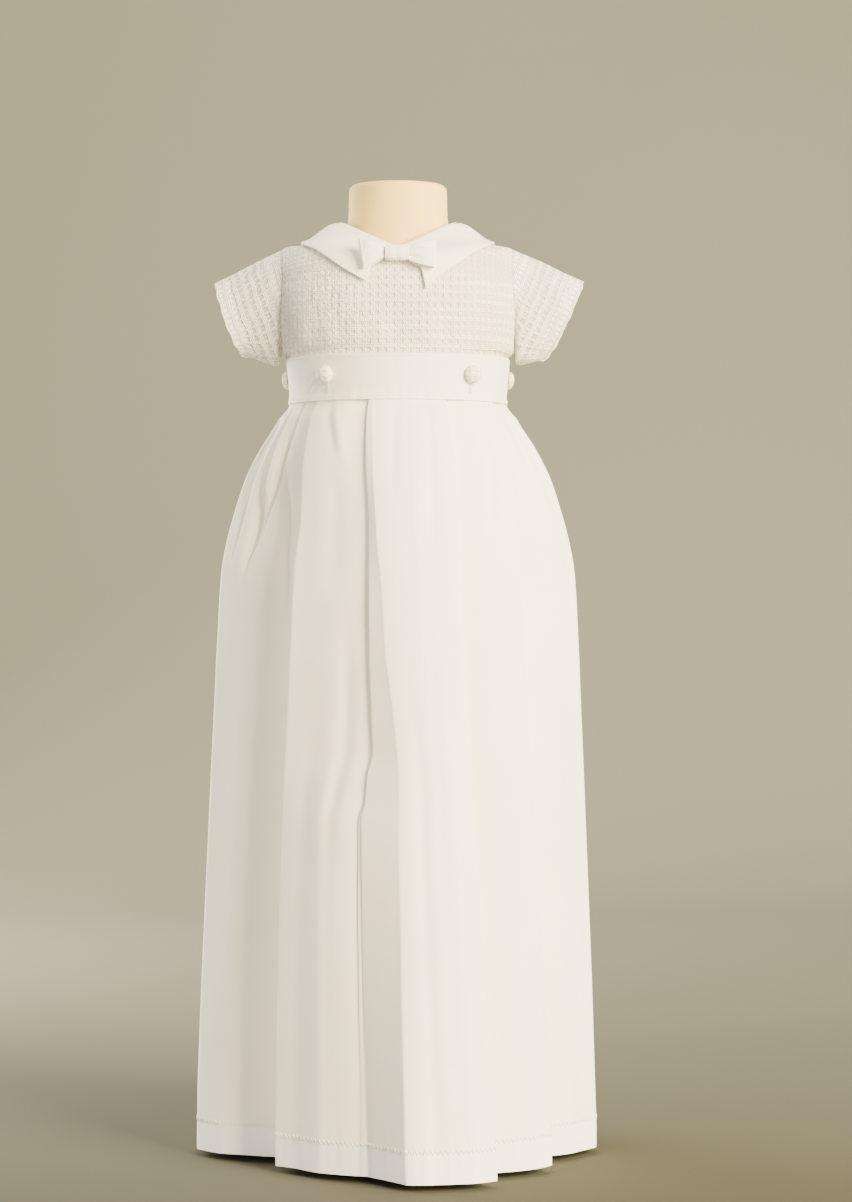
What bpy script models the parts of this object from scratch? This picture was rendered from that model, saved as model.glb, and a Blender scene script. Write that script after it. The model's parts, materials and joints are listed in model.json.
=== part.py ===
"""A baby's christening gown, worn by a limbless infant dress form on a round-based stand.

Metres, +Z up. The front faces -Y, and left and right are as seen from the front.
The origin is on the floor, under the middle of the stand. Angles round the body start at the
centre front and grow towards +X: 90 is the right side, 180 the centre back, -90 the left side.
"""

import math
from collections import namedtuple

import bmesh
import bpy
from mathutils import Matrix, Vector

# Cloth
CLOTH = 0.0010
SEAM_GAP = 0.0003
SEAM_TRIM = 0.0002
LAYER_PITCH = 0.0018
LAP_DROP = 0.0015

# Heights of the gown above the floor
HEM_HEIGHT = 0.005
HIP_HEIGHT = 0.409
WAIST_HEIGHT = 0.555
BAND_TOP = 0.586

# The waistband's oval, at the middle of its wall
WAIST_HALF_WIDTH = 0.0795
WAIST_FRONT_DEPTH = 0.0660
WAIST_BACK_DEPTH = 0.0620
BAND_FLARE = 0.0028

# Covered buttons
WAIST_BUTTON_DIAMETER = 0.0130
WAIST_BUTTON_HEIGHT = 0.0048
WAIST_BUTTON_ANGLES = (-39, 41, -96, 96, -140, 140)
WAIST_BUTTON_LEVEL = 0.572
BACK_BUTTON_DIAMETER = 0.0095
BACK_BUTTON_HEIGHT = 0.0036
BACK_BUTTON_LEVELS = (0.602, 0.634, 0.664)

# A button's profile from the top of its dome down, as shares of its radius and its height
BUTTON_PROFILE = ((0, 1), (0.55, 0.90), (0.85, 0.66), (1, 0.35), (0.90, 0.08), (0.60, 0), (0, 0))
BUTTON_STEPS = 12

# Stand
BASE_RADIUS = 0.074
BASE_THICKNESS = 0.008
POLE_RADIUS = 0.008
FLANGE_RADIUS = 0.024
FLANGE_THICKNESS = 0.003
HUB_RADIUS = 0.016
HUB_HEIGHT = 0.012
STAND_EDGE = 0.002
FORM_BOTTOM = 0.420

# The bodice's surface is a stack of rings. Each ring is an oval whose front, sides and back may
# lie at different heights. Power is the oval's fullness: 2 is an ellipse, more is squarer. Dip is
# how it falls from the sides to the middle: 2 is a smooth dip, 1 a straight V.
Ring = namedtuple(
    "Ring", "half_width front_depth back_depth side_height front_height back_height power dip"
)
BODICE_RINGS = (
    Ring(0.0780, 0.0645, 0.0605, 0.5575, 0.5575, 0.5575, 2.0, 2.0),
    Ring(0.0804, 0.0669, 0.0629, 0.5872, 0.5885, 0.5885, 2.0, 2.0),
    Ring(0.0855, 0.0682, 0.0642, 0.5925, 0.5990, 0.5990, 2.1, 2.0),
    Ring(0.0905, 0.0680, 0.0645, 0.6250, 0.6230, 0.6250, 2.3, 2.0),
    Ring(0.0895, 0.0650, 0.0610, 0.6510, 0.6430, 0.6490, 2.3, 2.0),
    Ring(0.0840, 0.0595, 0.0545, 0.6680, 0.6555, 0.6640, 2.1, 1.8),
    Ring(0.0650, 0.0525, 0.0480, 0.6712, 0.6600, 0.6715, 2.0, 1.5),
    Ring(0.0490, 0.0450, 0.0420, 0.6805, 0.6612, 0.6790, 2.0, 1.3),
    Ring(0.0435, 0.0420, 0.0395, 0.6855, 0.6635, 0.6835, 2.0, 1.2),
)
NECKLINE_LEVEL = len(BODICE_RINGS) - 1
SHOULDER_LEVEL = 5
UNDERARM_LEVEL = 2
ARMHOLE_HALF_ANGLE = 23
ARMHOLE_ROWS = 9
BACK_LAP_ANGLE = 6

# The dress form's horizontal rings, from its flat bottom to the top of its neck
FormRing = namedtuple("FormRing", "height half_width front_depth back_depth power")
FORM_RINGS = (
    FormRing(FORM_BOTTOM, 0.0600, 0.0440, 0.0430, 2.0),
    FormRing(0.4230, 0.0660, 0.0500, 0.0490, 2.0),
    FormRing(0.4320, 0.0700, 0.0540, 0.0530, 2.0),
    FormRing(0.4900, 0.0720, 0.0570, 0.0550, 2.0),
    FormRing(0.5550, 0.0735, 0.0595, 0.0560, 2.0),
    FormRing(0.6000, 0.0770, 0.0610, 0.0570, 2.1),
    FormRing(0.6350, 0.0780, 0.0590, 0.0550, 2.2),
    FormRing(0.6480, 0.0770, 0.0520, 0.0505, 2.1),
    FormRing(0.6570, 0.0765, 0.0430, 0.0465, 1.8),
    FormRing(0.6645, 0.0735, 0.0370, 0.0420, 1.6),
    FormRing(0.6706, 0.0640, 0.0350, 0.0385, 1.5),
    FormRing(0.6758, 0.0490, 0.0345, 0.0360, 1.6),
    FormRing(0.6815, 0.0390, 0.0342, 0.0348, 1.9),
    FormRing(0.6920, 0.0366, 0.0340, 0.0343, 2.0),
    FormRing(0.7120, 0.0360, 0.0335, 0.0340, 2.0),
    FormRing(0.7150, 0.0335, 0.0310, 0.0315, 2.0),
)

# The skirt's outline from waist to hem: half its width, and how far front and back stand out
Outline = namedtuple("Outline", "height half_width front_depth back_depth")
SKIRT_OUTLINE = (
    Outline(0.5544, 0.0795, 0.0660, 0.0620),
    Outline(0.5420, 0.0880, 0.0705, 0.0670),
    Outline(0.5200, 0.1017, 0.0780, 0.0755),
    Outline(0.4980, 0.1126, 0.0850, 0.0830),
    Outline(0.4760, 0.1198, 0.0910, 0.0895),
    Outline(0.4530, 0.1260, 0.0965, 0.0950),
    Outline(0.4310, 0.1300, 0.1010, 0.1000),
    Outline(0.4090, 0.1317, 0.1045, 0.1035),
    Outline(0.3650, 0.1340, 0.1110, 0.1095),
    Outline(0.2760, 0.1380, 0.1215, 0.1200),
    Outline(0.1870, 0.1420, 0.1300, 0.1290),
    Outline(0.0980, 0.1458, 0.1365, 0.1360),
    Outline(0.0050, 0.1484, 0.1402, 0.1402),
)
SKIRT_ROWS = (
    0.5544, 0.5480, 0.5380, 0.5250, 0.5100, 0.4920, 0.4700, 0.4420,
    0.4090, 0.3600, 0.3000, 0.2300, 0.1500, 0.0700, 0.0050,
)

# A pleat's fold. Waist is its angle where it is sewn in. Layers are the cloth's layers before and
# after the turn there, 0 outermost. Hip and hem are its places lower down, as shares of half the
# skirt's width and of its depth. A fold that is open at the hem lies flat there.
Fold = namedtuple("Fold", "name waist layer_in layer_out hip_x hip_depth hem_x hem_depth open_at_hem")
FRONT_FOLDS = (
    Fold("left_side", -90, 0, 0, -1.000, 0.000, -1.000, 0.015, False),
    Fold("left_under", -31, 2, 1, -0.384, 0.500, -0.470, 0.315, False),
    Fold("left_edge", -47, 1, 0, -0.574, 0.660, -0.583, 0.515, False),
    Fold("centre_under", -5, 2, 1, -0.110, 0.885, -0.190, 0.778, True),
    Fold("centre_edge", -16, 1, 0, -0.178, 0.935, -0.158, 0.795, True),
    Fold("centre_crease", -13, 0, 0, -0.085, 0.985, 0.047, 1.000, False),
    Fold("right_edge", 26, 0, 1, 0.338, 0.935, 0.469, 0.892, False),
    Fold("right_under", 12, 1, 2, 0.215, 0.820, 0.325, 0.745, False),
    Fold("far_edge", 60, 0, 1, 0.670, 0.640, 0.747, 0.505, False),
    Fold("far_under", 44, 1, 2, 0.540, 0.500, 0.590, 0.345, False),
    Fold("right_side", 90, 0, 0, 1.000, 0.000, 0.984, -0.010, False),
)
BACK_FOLDS = (
    Fold("right_side", -90, 0, 0, -1.000, 0.000, -0.984, 0.010, False),
    Fold("outer_under", -44, 2, 1, -0.520, 0.520, -0.560, 0.380, False),
    Fold("outer_edge", -59, 1, 0, -0.680, 0.640, -0.720, 0.540, False),
    Fold("box_under", -11, 2, 1, -0.190, 0.830, -0.270, 0.760, False),
    Fold("box_edge", -25, 1, 0, -0.330, 0.940, -0.400, 0.925, False),
    Fold("box_edge", 25, 0, 1, 0.330, 0.940, 0.400, 0.925, False),
    Fold("box_under", 11, 1, 2, 0.190, 0.830, 0.270, 0.760, False),
    Fold("outer_edge", 59, 0, 1, 0.680, 0.640, 0.720, 0.540, False),
    Fold("outer_under", 44, 1, 2, 0.520, 0.520, 0.560, 0.380, False),
    Fold("left_side", 90, 0, 0, 1.000, 0.000, 1.000, -0.015, False),
)

# How the gathers deepen below the seam, fade out above their ends and keep off the folds
GATHER_SEWN_SHARE = 0.18
GATHER_DEEPEST = 0.3
GATHER_FADE = 0.55
GATHER_MARGIN = 0.08

# How fast the pleats open from waist to hip, how far the side seams draw their neighbours out,
# and how deep a fold that lies flat at the hem stands
HIP_ROUNDNESS = 1.7
SIDE_SEAM_PULL = 0.85
SIDE_SEAM_PULL_NEXT = 0.35
OPEN_NOSE_DEPTH = 0.4

# The cloth between two folds: how finely it is cut, where along it (as shares) it slips under
# or comes out from under its neighbour at the waist, and how far it bulges at hip and hem. Lean
# moves the bulge: 1 is even, less sets it nearer the stretch's start, more nearer its end.
BULGE_FULLNESS = 0.8
Stretch = namedtuple("Stretch", "steps slip_start slip_end bulge lean")
FRONT_STRETCHES = (
    Stretch(18, 0.46, 0.66, 0.085, 0.66),
    Stretch(2, 0.0, 1.0, 0.0, 1.0),
    Stretch(8, 0.42, 0.68, 0.020, 1.0),
    Stretch(1, 0.0, 1.0, 0.0, 1.0),
    Stretch(2, 0.0, 1.0, 0.0, 1.0),
    Stretch(7, 0.0, 1.0, 0.045, 1.0),
    Stretch(2, 0.0, 1.0, 0.0, 1.0),
    Stretch(8, 0.34, 0.58, 0.050, 1.0),
    Stretch(2, 0.0, 1.0, 0.0, 1.0),
    Stretch(14, 0.47, 0.66, 0.070, 1.3),
)
BACK_STRETCHES = (
    Stretch(12, 0.46, 0.64, 0.075, 0.75),
    Stretch(2, 0.0, 1.0, 0.0, 1.0),
    Stretch(7, 0.42, 0.66, 0.045, 1.0),
    Stretch(2, 0.0, 1.0, 0.0, 1.0),
    Stretch(8, 0.0, 1.0, 0.070, 1.0),
    Stretch(2, 0.0, 1.0, 0.0, 1.0),
    Stretch(7, 0.34, 0.58, 0.045, 1.0),
    Stretch(2, 0.0, 1.0, 0.0, 1.0),
    Stretch(12, 0.36, 0.54, 0.075, 1.33),
)

# A gather is a soft trough that runs down from the waist seam and dies out. Top and low are its
# places along a stretch, as shares, and end is the height where it is gone.
Gather = namedtuple("Gather", "stretch top low depth width end")
FRONT_GATHERS = (
    Gather(0, 0.14, 0.10, 0.0042, 0.060, 0.455),
    Gather(0, 0.30, 0.34, 0.0060, 0.070, 0.430),
    Gather(0, 0.46, 0.56, 0.0050, 0.070, 0.440),
    Gather(9, 0.60, 0.56, 0.0028, 0.080, 0.480),
    Gather(9, 0.80, 0.80, 0.0036, 0.080, 0.460),
)
BACK_GATHERS = (
    Gather(0, 0.12, 0.12, 0.0032, 0.080, 0.460),
    Gather(0, 0.32, 0.34, 0.0032, 0.080, 0.450),
    Gather(8, 0.68, 0.66, 0.0032, 0.080, 0.450),
    Gather(8, 0.88, 0.88, 0.0032, 0.080, 0.460),
)

# The collar's outer edge: for a place on the roll line, the angle and bodice level of the edge
# below it, and how far the edge lifts off the bodice. The first place is the collar's point.
CollarEdge = namedtuple("CollarEdge", "roll_angle edge_angle edge_level lift")
LEFT_POINT = CollarEdge(1.5, 11.2, 3.64, 0.0020)
RIGHT_POINT = CollarEdge(1.5, 10.4, 3.38, 0.0020)
COLLAR_EDGES = (
    CollarEdge(26.0, 21.0, 4.10, 0.0024),
    CollarEdge(50.0, 33.5, 4.62, 0.0020),
    CollarEdge(70.0, 53.0, 5.20, 0.0012),
    CollarEdge(90.0, 88.0, 5.72, 0.0010),
    CollarEdge(125.0, 126.0, 5.38, 0.0010),
    CollarEdge(155.0, 153.0, 5.20, 0.0010),
    CollarEdge(178.5, 176.0, 5.15, 0.0010),
)
COLLAR_STAND_LEVEL = 7.05
COLLAR_INSET = 0.0016
COLLAR_BACK_INSET = 0.0034
COLLAR_CLEARANCE = 0.0016

# Sleeves: the cuff's upper and lower corners as seen from the front, and half its depth
SleeveCuff = namedtuple("SleeveCuff", "upper_x upper_z lower_x lower_z half_depth")
LEFT_CUFF = SleeveCuff(-0.1345, 0.6435, -0.1110, 0.5895, 0.021)
RIGHT_CUFF = SleeveCuff(0.1365, 0.6445, 0.1050, 0.5870, 0.022)
SLEEVE_ARMHOLE_ANGLE = 0.8
SLEEVE_ARMHOLE_LEVEL = 0.056
SLEEVE_SAG = 0.7
SLEEVE_TOP_SLOPE = 0.5
SLEEVE_AIM_X = 0.086
SLEEVE_AIM_HEIGHT = 0.632
CUFF_BULGE = 0.007
CUFF_BULGE_FULLNESS = 0.7
CUFF_BULGE_TOP = 0.3
CUFF_BULGE_UNDERSIDE = 1.0

# Bow: it leans back with the chest. Each loop's reach and heights, and the knot
BOW_CENTRE_HEIGHT = 0.6572
BOW_CENTRE_DEPTH = 0.0676
BOW_LEAN = 15
BOW_LOOP_REACH = 0.0278
BOW_LOOP_END_HEIGHT = 0.0220
BOW_LOOP_ROOT_HEIGHT = 0.0064
BOW_LOOP_THICKNESS = 0.0056
BOW_LOOP_ROOT_HALF_THICKNESS = 0.0011
BOW_LOOP_TUCK = 0.0025
BOW_LOOP_SPREAD = 0.75
BOW_KNOT_ROUNDNESS = 0.8
BOW_KNOT_WIDTH = 0.0165
BOW_KNOT_HEIGHT = 0.0110
BOW_KNOT_DEPTH = 0.0076

WHITE_COTTON = (0.88, 0.86, 0.81, 1.0)
WOVEN_COTTON = (0.90, 0.87, 0.81, 1.0)
FORM_JERSEY = (0.83, 0.73, 0.55, 1.0)
STAND_PAINT = (0.62, 0.60, 0.56, 1.0)


def make_material(name, colour, roughness, metallic=0.0):
    """A Principled material of one colour."""
    material = bpy.data.materials.new(name)
    material.use_nodes = True
    shader = material.node_tree.nodes["Principled BSDF"]
    shader.inputs["Base Color"].default_value = colour
    shader.inputs["Roughness"].default_value = roughness
    shader.inputs["Metallic"].default_value = metallic
    return material


def mix(a, b, share):
    """The value that lies that share of the way from a to b."""
    return a + (b - a) * share


def ease(value, start, end):
    """0 before start, 1 after end, and a smooth rise between them."""
    share = min(max((value - start) / (end - start), 0.0), 1.0)
    return share * share * (3 - 2 * share)


def joint_slope(before, after):
    """The slope where two steps of a table meet, which never overshoots either of them."""
    if before * after <= 0:
        return 0.0
    return 2 * before * after / (before + after)


def smooth_row(rows, place):
    """The columns of a table at a fractional row number, on a smooth curve through its rows."""
    last = len(rows) - 1
    index = min(max(int(math.floor(place)), 0), last - 1)
    t = place - index
    before = rows[max(index - 1, 0)]
    after = rows[min(index + 2, last)]
    values = []
    for p0, p1, p2, p3 in zip(before, rows[index], rows[index + 1], after):
        start, end = joint_slope(p1 - p0, p2 - p1), joint_slope(p2 - p1, p3 - p2)
        if 0 <= t <= 1:
            swing = start * (1 - t) - end * t
            values.append(mix(p1, p2, t * t * (3 - 2 * t)) + t * (1 - t) * swing)
        else:
            values.append(mix(p1, p2, t))
    return type(rows[0])(*values)


def row_at(rows, value):
    """The columns of a table whose first column falls or rises steadily, at a value of it."""
    rising = rows[-1][0] > rows[0][0]
    for index in range(len(rows) - 1):
        reached = value <= rows[index + 1][0] if rising else value >= rows[index + 1][0]
        if reached or index == len(rows) - 2:
            share = (value - rows[index][0]) / (rows[index + 1][0] - rows[index][0])
            return smooth_row(rows, index + share)


def oval(half_width, front_depth, back_depth, angle, power=2.0):
    """A point of a full oval round the body, as x and y."""
    s, c = math.sin(math.radians(angle)), math.cos(math.radians(angle))
    depth = front_depth if c > 0 else back_depth
    x = half_width * math.copysign(abs(s) ** (2 / power), s)
    y = -depth * math.copysign(abs(c) ** (2 / power), c)
    return x, y


def bodice_surface(angle, level):
    """A point of the bodice at an angle round the body and a fractional ring number."""
    ring = smooth_row(BODICE_RINGS, level)
    x, y = oval(ring.half_width, ring.front_depth, ring.back_depth, angle, ring.power)
    s, c = math.sin(math.radians(angle)), math.cos(math.radians(angle))
    middle_height = ring.front_height if c > 0 else ring.back_height
    return Vector((x, y, mix(middle_height, ring.side_height, abs(s) ** ring.dip)))


def bodice_point(angle, level, out=0.0):
    """A point of the bodice moved out along its own surface's normal."""
    around = bodice_surface(angle + 1.0, level) - bodice_surface(angle - 1.0, level)
    up = bodice_surface(angle, level + 0.05) - bodice_surface(angle, level - 0.05)
    return bodice_surface(angle, level) + around.cross(up).normalized() * out


def armhole_angle(level, inset=0.0):
    """Half the armhole's opening at a bodice level, in degrees each side of the side seam."""
    middle = (SHOULDER_LEVEL + UNDERARM_LEVEL) / 2
    half = (SHOULDER_LEVEL - UNDERARM_LEVEL) / 2
    share = (level - middle) / half
    if abs(share) >= 1:
        return inset
    return ARMHOLE_HALF_ANGLE * math.sqrt(1 - share * share) + inset


def add_object(name, mesh, material, collection):
    """Links a mesh into the scene as a named object with its own material."""
    mesh.materials.append(material)
    made = bpy.data.objects.new(name, mesh)
    collection.objects.link(made)
    return made


def grid_mesh(name, rows, closed):
    """An open surface through rows of points. Closed rows join their last point to the first."""
    mesh = bmesh.new()
    grid = [[mesh.verts.new(point) for point in row] for row in rows]
    count = len(rows[0])
    for lower, upper in zip(grid, grid[1:]):
        for k in range(count if closed else count - 1):
            n = (k + 1) % count
            mesh.faces.new((lower[k], lower[n], upper[n], upper[k]))
    data = bpy.data.meshes.new(name)
    mesh.to_mesh(data)
    mesh.free()
    data.shade_smooth()
    return data


def cloth(name, rows, material, collection, closed=False, thickness=CLOTH):
    """A wall of cloth through rows of points that run along the middle of the wall."""
    made = add_object(name, grid_mesh(name, rows, closed), material, collection)
    solidify = made.modifiers.new("wall", "SOLIDIFY")
    solidify.thickness = thickness
    solidify.offset = 0
    solidify.use_even_offset = True
    return made


def turned(name, profile, steps, material, collection):
    """A solid turned about Z. The profile runs down the outer side, top to bottom."""
    mesh = bmesh.new()
    points = [mesh.verts.new((radius, 0, height)) for radius, height in profile]
    for a, b in zip(points, points[1:]):
        mesh.edges.new((a, b))
    data = bpy.data.meshes.new(name)
    mesh.to_mesh(data)
    mesh.free()
    made = add_object(name, data, material, collection)
    screw = made.modifiers.new("turn", "SCREW")
    screw.steps = steps
    screw.render_steps = steps
    screw.use_merge_vertices = True
    screw.merge_threshold = 0.00001
    return made


def build_dress_form(material, collection):
    """The limbless torso and neck that wears the gown: a closed solid through its rings."""
    columns = 32
    rows = []
    for ring in FORM_RINGS:
        row = []
        for k in range(columns):
            x, y = oval(ring.half_width, ring.front_depth, ring.back_depth, 360 * k / columns, ring.power)
            row.append(Vector((x, y, ring.height)))
        rows.append(row)
    data = grid_mesh("dress_form", rows, closed=True)
    mesh = bmesh.new()
    mesh.from_mesh(data)
    bmesh.ops.holes_fill(mesh, edges=[e for e in mesh.edges if e.is_boundary])
    bmesh.ops.recalc_face_normals(mesh, faces=mesh.faces)
    mesh.to_mesh(data)
    mesh.free()
    return add_object("dress_form", data, material, collection)


def build_stand(material, collection):
    """A round base with a hub, and a pole whose flange carries the dress form."""
    top = BASE_THICKNESS + HUB_HEIGHT
    base = (
        (0, top),
        (HUB_RADIUS - STAND_EDGE, top),
        (HUB_RADIUS, top - STAND_EDGE),
        (HUB_RADIUS, BASE_THICKNESS + STAND_EDGE),
        (HUB_RADIUS + STAND_EDGE, BASE_THICKNESS),
        (BASE_RADIUS - STAND_EDGE, BASE_THICKNESS),
        (BASE_RADIUS, BASE_THICKNESS - STAND_EDGE),
        (BASE_RADIUS, 0),
        (0, 0),
    )
    turned("stand_base", base, 36, material, collection)
    foot = top + SEAM_GAP
    plate = FORM_BOTTOM - SEAM_GAP
    pole = (
        (0, plate),
        (FLANGE_RADIUS, plate),
        (FLANGE_RADIUS, plate - FLANGE_THICKNESS),
        (POLE_RADIUS, plate - FLANGE_THICKNESS),
        (POLE_RADIUS, foot),
        (0, foot),
    )
    turned("stand_pole", pole, 24, material, collection)


def seam_trim(angle_radius):
    """The angle that half a seam's gap takes at that distance from the body's axis."""
    return math.degrees(SEAM_TRIM / angle_radius)


def bodice_levels():
    """The levels of the bodice's rows, closer together at the ends of the armhole."""
    middle = (SHOULDER_LEVEL + UNDERARM_LEVEL) / 2
    half = (SHOULDER_LEVEL - UNDERARM_LEVEL) / 2
    levels = [0.0, 1.0, 1.5]
    levels += [middle - half * math.cos(math.pi * k / ARMHOLE_ROWS) for k in range(ARMHOLE_ROWS + 1)]
    levels += [5.4, 5.8, 6.2, 6.6, 7.0, 7.4, float(NECKLINE_LEVEL)]
    return levels


def build_bodice_front(material, collection):
    """The bodice's front, from side seam to side seam, with its armholes and neckline."""
    columns = 20
    rows = []
    for level in bodice_levels():
        ring = smooth_row(BODICE_RINGS, level)
        reach = 90 - max(armhole_angle(level), 0) - seam_trim(ring.front_depth)
        rows.append([bodice_point(mix(-reach, reach, k / columns), level) for k in range(columns + 1)])
    return cloth("bodice_front", rows, material, collection)


def build_bodice_back(side, material, collection):
    """Half of the bodice's back. The two halves lap at the centre, the left one underneath."""
    columns = 10
    name = "bodice_back_left" if side < 0 else "bodice_back_right"
    drop = LAP_DROP if side < 0 else 0.0
    rows = []
    for level in bodice_levels():
        ring = smooth_row(BODICE_RINGS, level)
        start = 90 + max(armhole_angle(level), 0) + seam_trim(ring.back_depth)
        row = []
        for k in range(columns + 1):
            angle = mix(start, 180 + BACK_LAP_ANGLE, k / columns)
            under = ease(angle, 180 - 3 * BACK_LAP_ANGLE, 180 - 1.5 * BACK_LAP_ANGLE)
            row.append(bodice_point(side * angle, level, -drop * under))
        rows.append(row)
    return cloth(name, rows, material, collection)


def build_sleeve(side, cuff, material, collection):
    """A short sleeve, from the armhole to its open cuff."""
    columns, steps = 2 * ARMHOLE_ROWS, 5
    name = "sleeve_left" if side < 0 else "sleeve_right"
    middle = (SHOULDER_LEVEL + UNDERARM_LEVEL) / 2
    half = (SHOULDER_LEVEL - UNDERARM_LEVEL) / 2
    upper = Vector((cuff.upper_x, 0, cuff.upper_z))
    lower = Vector((cuff.lower_x, 0, cuff.lower_z))
    centre, rise = (upper + lower) / 2, (upper - lower) / 2
    outward = Vector((side * abs(rise.z), 0, -side * rise.x)).normalized()
    rows = []
    for step in range(steps + 1):
        t = step / steps
        row = []
        for k in range(columns):
            turn = 2 * math.pi * k / columns
            angle = 90 - (ARMHOLE_HALF_ANGLE - SLEEVE_ARMHOLE_ANGLE) * math.sin(turn)
            level = middle + (half - SLEEVE_ARMHOLE_LEVEL) * math.cos(turn)
            start = bodice_surface(side * angle, level)
            end = centre + rise * math.cos(turn) + Vector((0, -cuff.half_depth * math.sin(turn), 0))
            upness = 0.5 + 0.5 * math.cos(turn)
            bulge = CUFF_BULGE * mix(CUFF_BULGE_UNDERSIDE, CUFF_BULGE_TOP, upness)
            end += outward * bulge * abs(math.sin(turn)) ** CUFF_BULGE_FULLNESS
            reach = (end - start).length
            leave = Vector((side, 0, -mix(SLEEVE_SAG, SLEEVE_TOP_SLOPE, upness))).normalized() * reach
            arrive = (centre - Vector((side * SLEEVE_AIM_X, 0, SLEEVE_AIM_HEIGHT))).normalized() * reach
            h1 = t * t * t - 2 * t * t + t
            h2 = t * t * t - t * t
            row.append(start.lerp(end, t * t * (3 - 2 * t)) + leave * h1 + arrive * h2)
        rows.append(row)
    return cloth(name, rows, material, collection, closed=True)


def build_collar(side, point, material, collection):
    """Half of the pointed collar: a short stand inside the neckline, a roll and a flat fall."""
    columns, fall_steps = 15, 7
    name = "collar_left" if side < 0 else "collar_right"
    table = (point, *COLLAR_EDGES)
    rows = []
    for k in range(columns + 1):
        edge = smooth_row(table, (len(table) - 1) * k / columns)
        roll = side * edge.roll_angle
        inset = mix(COLLAR_INSET, COLLAR_BACK_INSET, ease(edge.roll_angle, 135, 160))
        neckline = bodice_surface(roll, NECKLINE_LEVEL)
        up = (neckline - bodice_surface(roll, NECKLINE_LEVEL - 0.2)).normalized() * COLLAR_INSET
        row = [
            bodice_point(roll, COLLAR_STAND_LEVEL, -inset),
            bodice_point(roll, NECKLINE_LEVEL, -inset),
            bodice_point(roll, NECKLINE_LEVEL, -0.6 * inset) + up,
            bodice_point(roll, NECKLINE_LEVEL, 0.6 * COLLAR_CLEARANCE) + up,
        ]
        for step in range(fall_steps + 1):
            t = step / fall_steps
            angle = mix(roll, side * edge.edge_angle, t)
            level = mix(NECKLINE_LEVEL - 0.1, edge.edge_level, t)
            row.append(bodice_point(angle, level, mix(COLLAR_CLEARANCE, edge.lift + CLOTH, t)))
        rows.append(row)
    return cloth(name, rows, material, collection)


def bow_place(x, depth, rise):
    """A point of the bow, from its place across, out of and up along its own leaning plane."""
    lean = math.radians(BOW_LEAN)
    y = -BOW_CENTRE_DEPTH - depth * math.cos(lean) + rise * math.sin(lean)
    return Vector((x, y, BOW_CENTRE_HEIGHT + depth * math.sin(lean) + rise * math.cos(lean)))


def build_bow_loop(side, material, collection):
    """One loop of the bow: a flat band folded back on itself, pinched at the knot."""
    lengths, heights = 6, 4
    name = "bow_loop_left" if side < 0 else "bow_loop_right"
    root = BOW_KNOT_WIDTH / 2 - BOW_LOOP_TUCK
    rows = []
    for j in range(heights + 1):
        v = 2 * j / heights - 1
        row = []
        for k in range(2 * lengths + 1):
            front = k <= lengths
            t = k / lengths if front else 2 - k / lengths
            x = mix(root, BOW_LOOP_REACH, t)
            spread = max(x - BOW_KNOT_WIDTH / 2, 0) / (BOW_LOOP_REACH - BOW_KNOT_WIDTH / 2)
            height = mix(BOW_LOOP_ROOT_HEIGHT, BOW_LOOP_END_HEIGHT, spread**BOW_LOOP_SPREAD) / 2
            swell = math.sin(math.pi * min(spread, 0.9) / 1.1)
            puff = 0.0 if k == lengths else mix(BOW_LOOP_ROOT_HALF_THICKNESS, BOW_LOOP_THICKNESS / 2, swell)
            row.append(bow_place(side * x, puff if front else -puff, v * height))
        rows.append(row)
    return cloth(name, rows, material, collection)


def build_bow_knot(material, collection):
    """The band round the middle of the bow."""
    columns, steps = 16, 3
    rows = []
    for j in range(steps + 1):
        x = mix(-BOW_KNOT_WIDTH / 2, BOW_KNOT_WIDTH / 2, j / steps)
        row = []
        for k in range(columns):
            s, c = math.sin(2 * math.pi * k / columns), math.cos(2 * math.pi * k / columns)
            depth = BOW_KNOT_DEPTH / 2 * math.copysign(abs(c) ** BOW_KNOT_ROUNDNESS, c)
            rise = BOW_KNOT_HEIGHT / 2 * math.copysign(abs(s) ** BOW_KNOT_ROUNDNESS, s)
            row.append(bow_place(x, depth, rise))
        rows.append(row)
    return cloth("bow_knot", rows, material, collection, closed=True)


def band_surface(angle, height):
    """A point of the waistband, and the direction that faces out of it."""
    share = (height - WAIST_HEIGHT) / (BAND_TOP - WAIST_HEIGHT)
    grow = BAND_FLARE * share
    x, y = oval(WAIST_HALF_WIDTH + grow, WAIST_FRONT_DEPTH + grow, WAIST_BACK_DEPTH + grow, angle)
    depth = WAIST_FRONT_DEPTH if y < 0 else WAIST_BACK_DEPTH
    outward = Vector((x / WAIST_HALF_WIDTH**2, y / depth**2, 0)).normalized()
    outward.z = -BAND_FLARE / (BAND_TOP - WAIST_HEIGHT)
    return Vector((x, y, height)), outward.normalized()


def build_waistband(material, collection):
    """The plain band round the waist."""
    columns, steps = 44, 2
    rows = [
        [band_surface(360 * k / columns, mix(WAIST_HEIGHT, BAND_TOP, j / steps))[0] for k in range(columns)]
        for j in range(steps + 1)
    ]
    return cloth("waistband", rows, material, collection, closed=True)


def build_button(name, place, outward, diameter, height, material, collection):
    """A domed button covered in cloth, standing 0.3 mm off the cloth under it."""
    radius = diameter / 2
    profile = [(radius * across, height * up) for across, up in BUTTON_PROFILE]
    made = turned(name, profile, BUTTON_STEPS, material, collection)
    turn = outward.to_track_quat("Z", "Y").to_matrix().to_4x4()
    made.matrix_world = Matrix.Translation(place + outward * (CLOTH / 2 + SEAM_GAP)) @ turn
    return made


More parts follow.
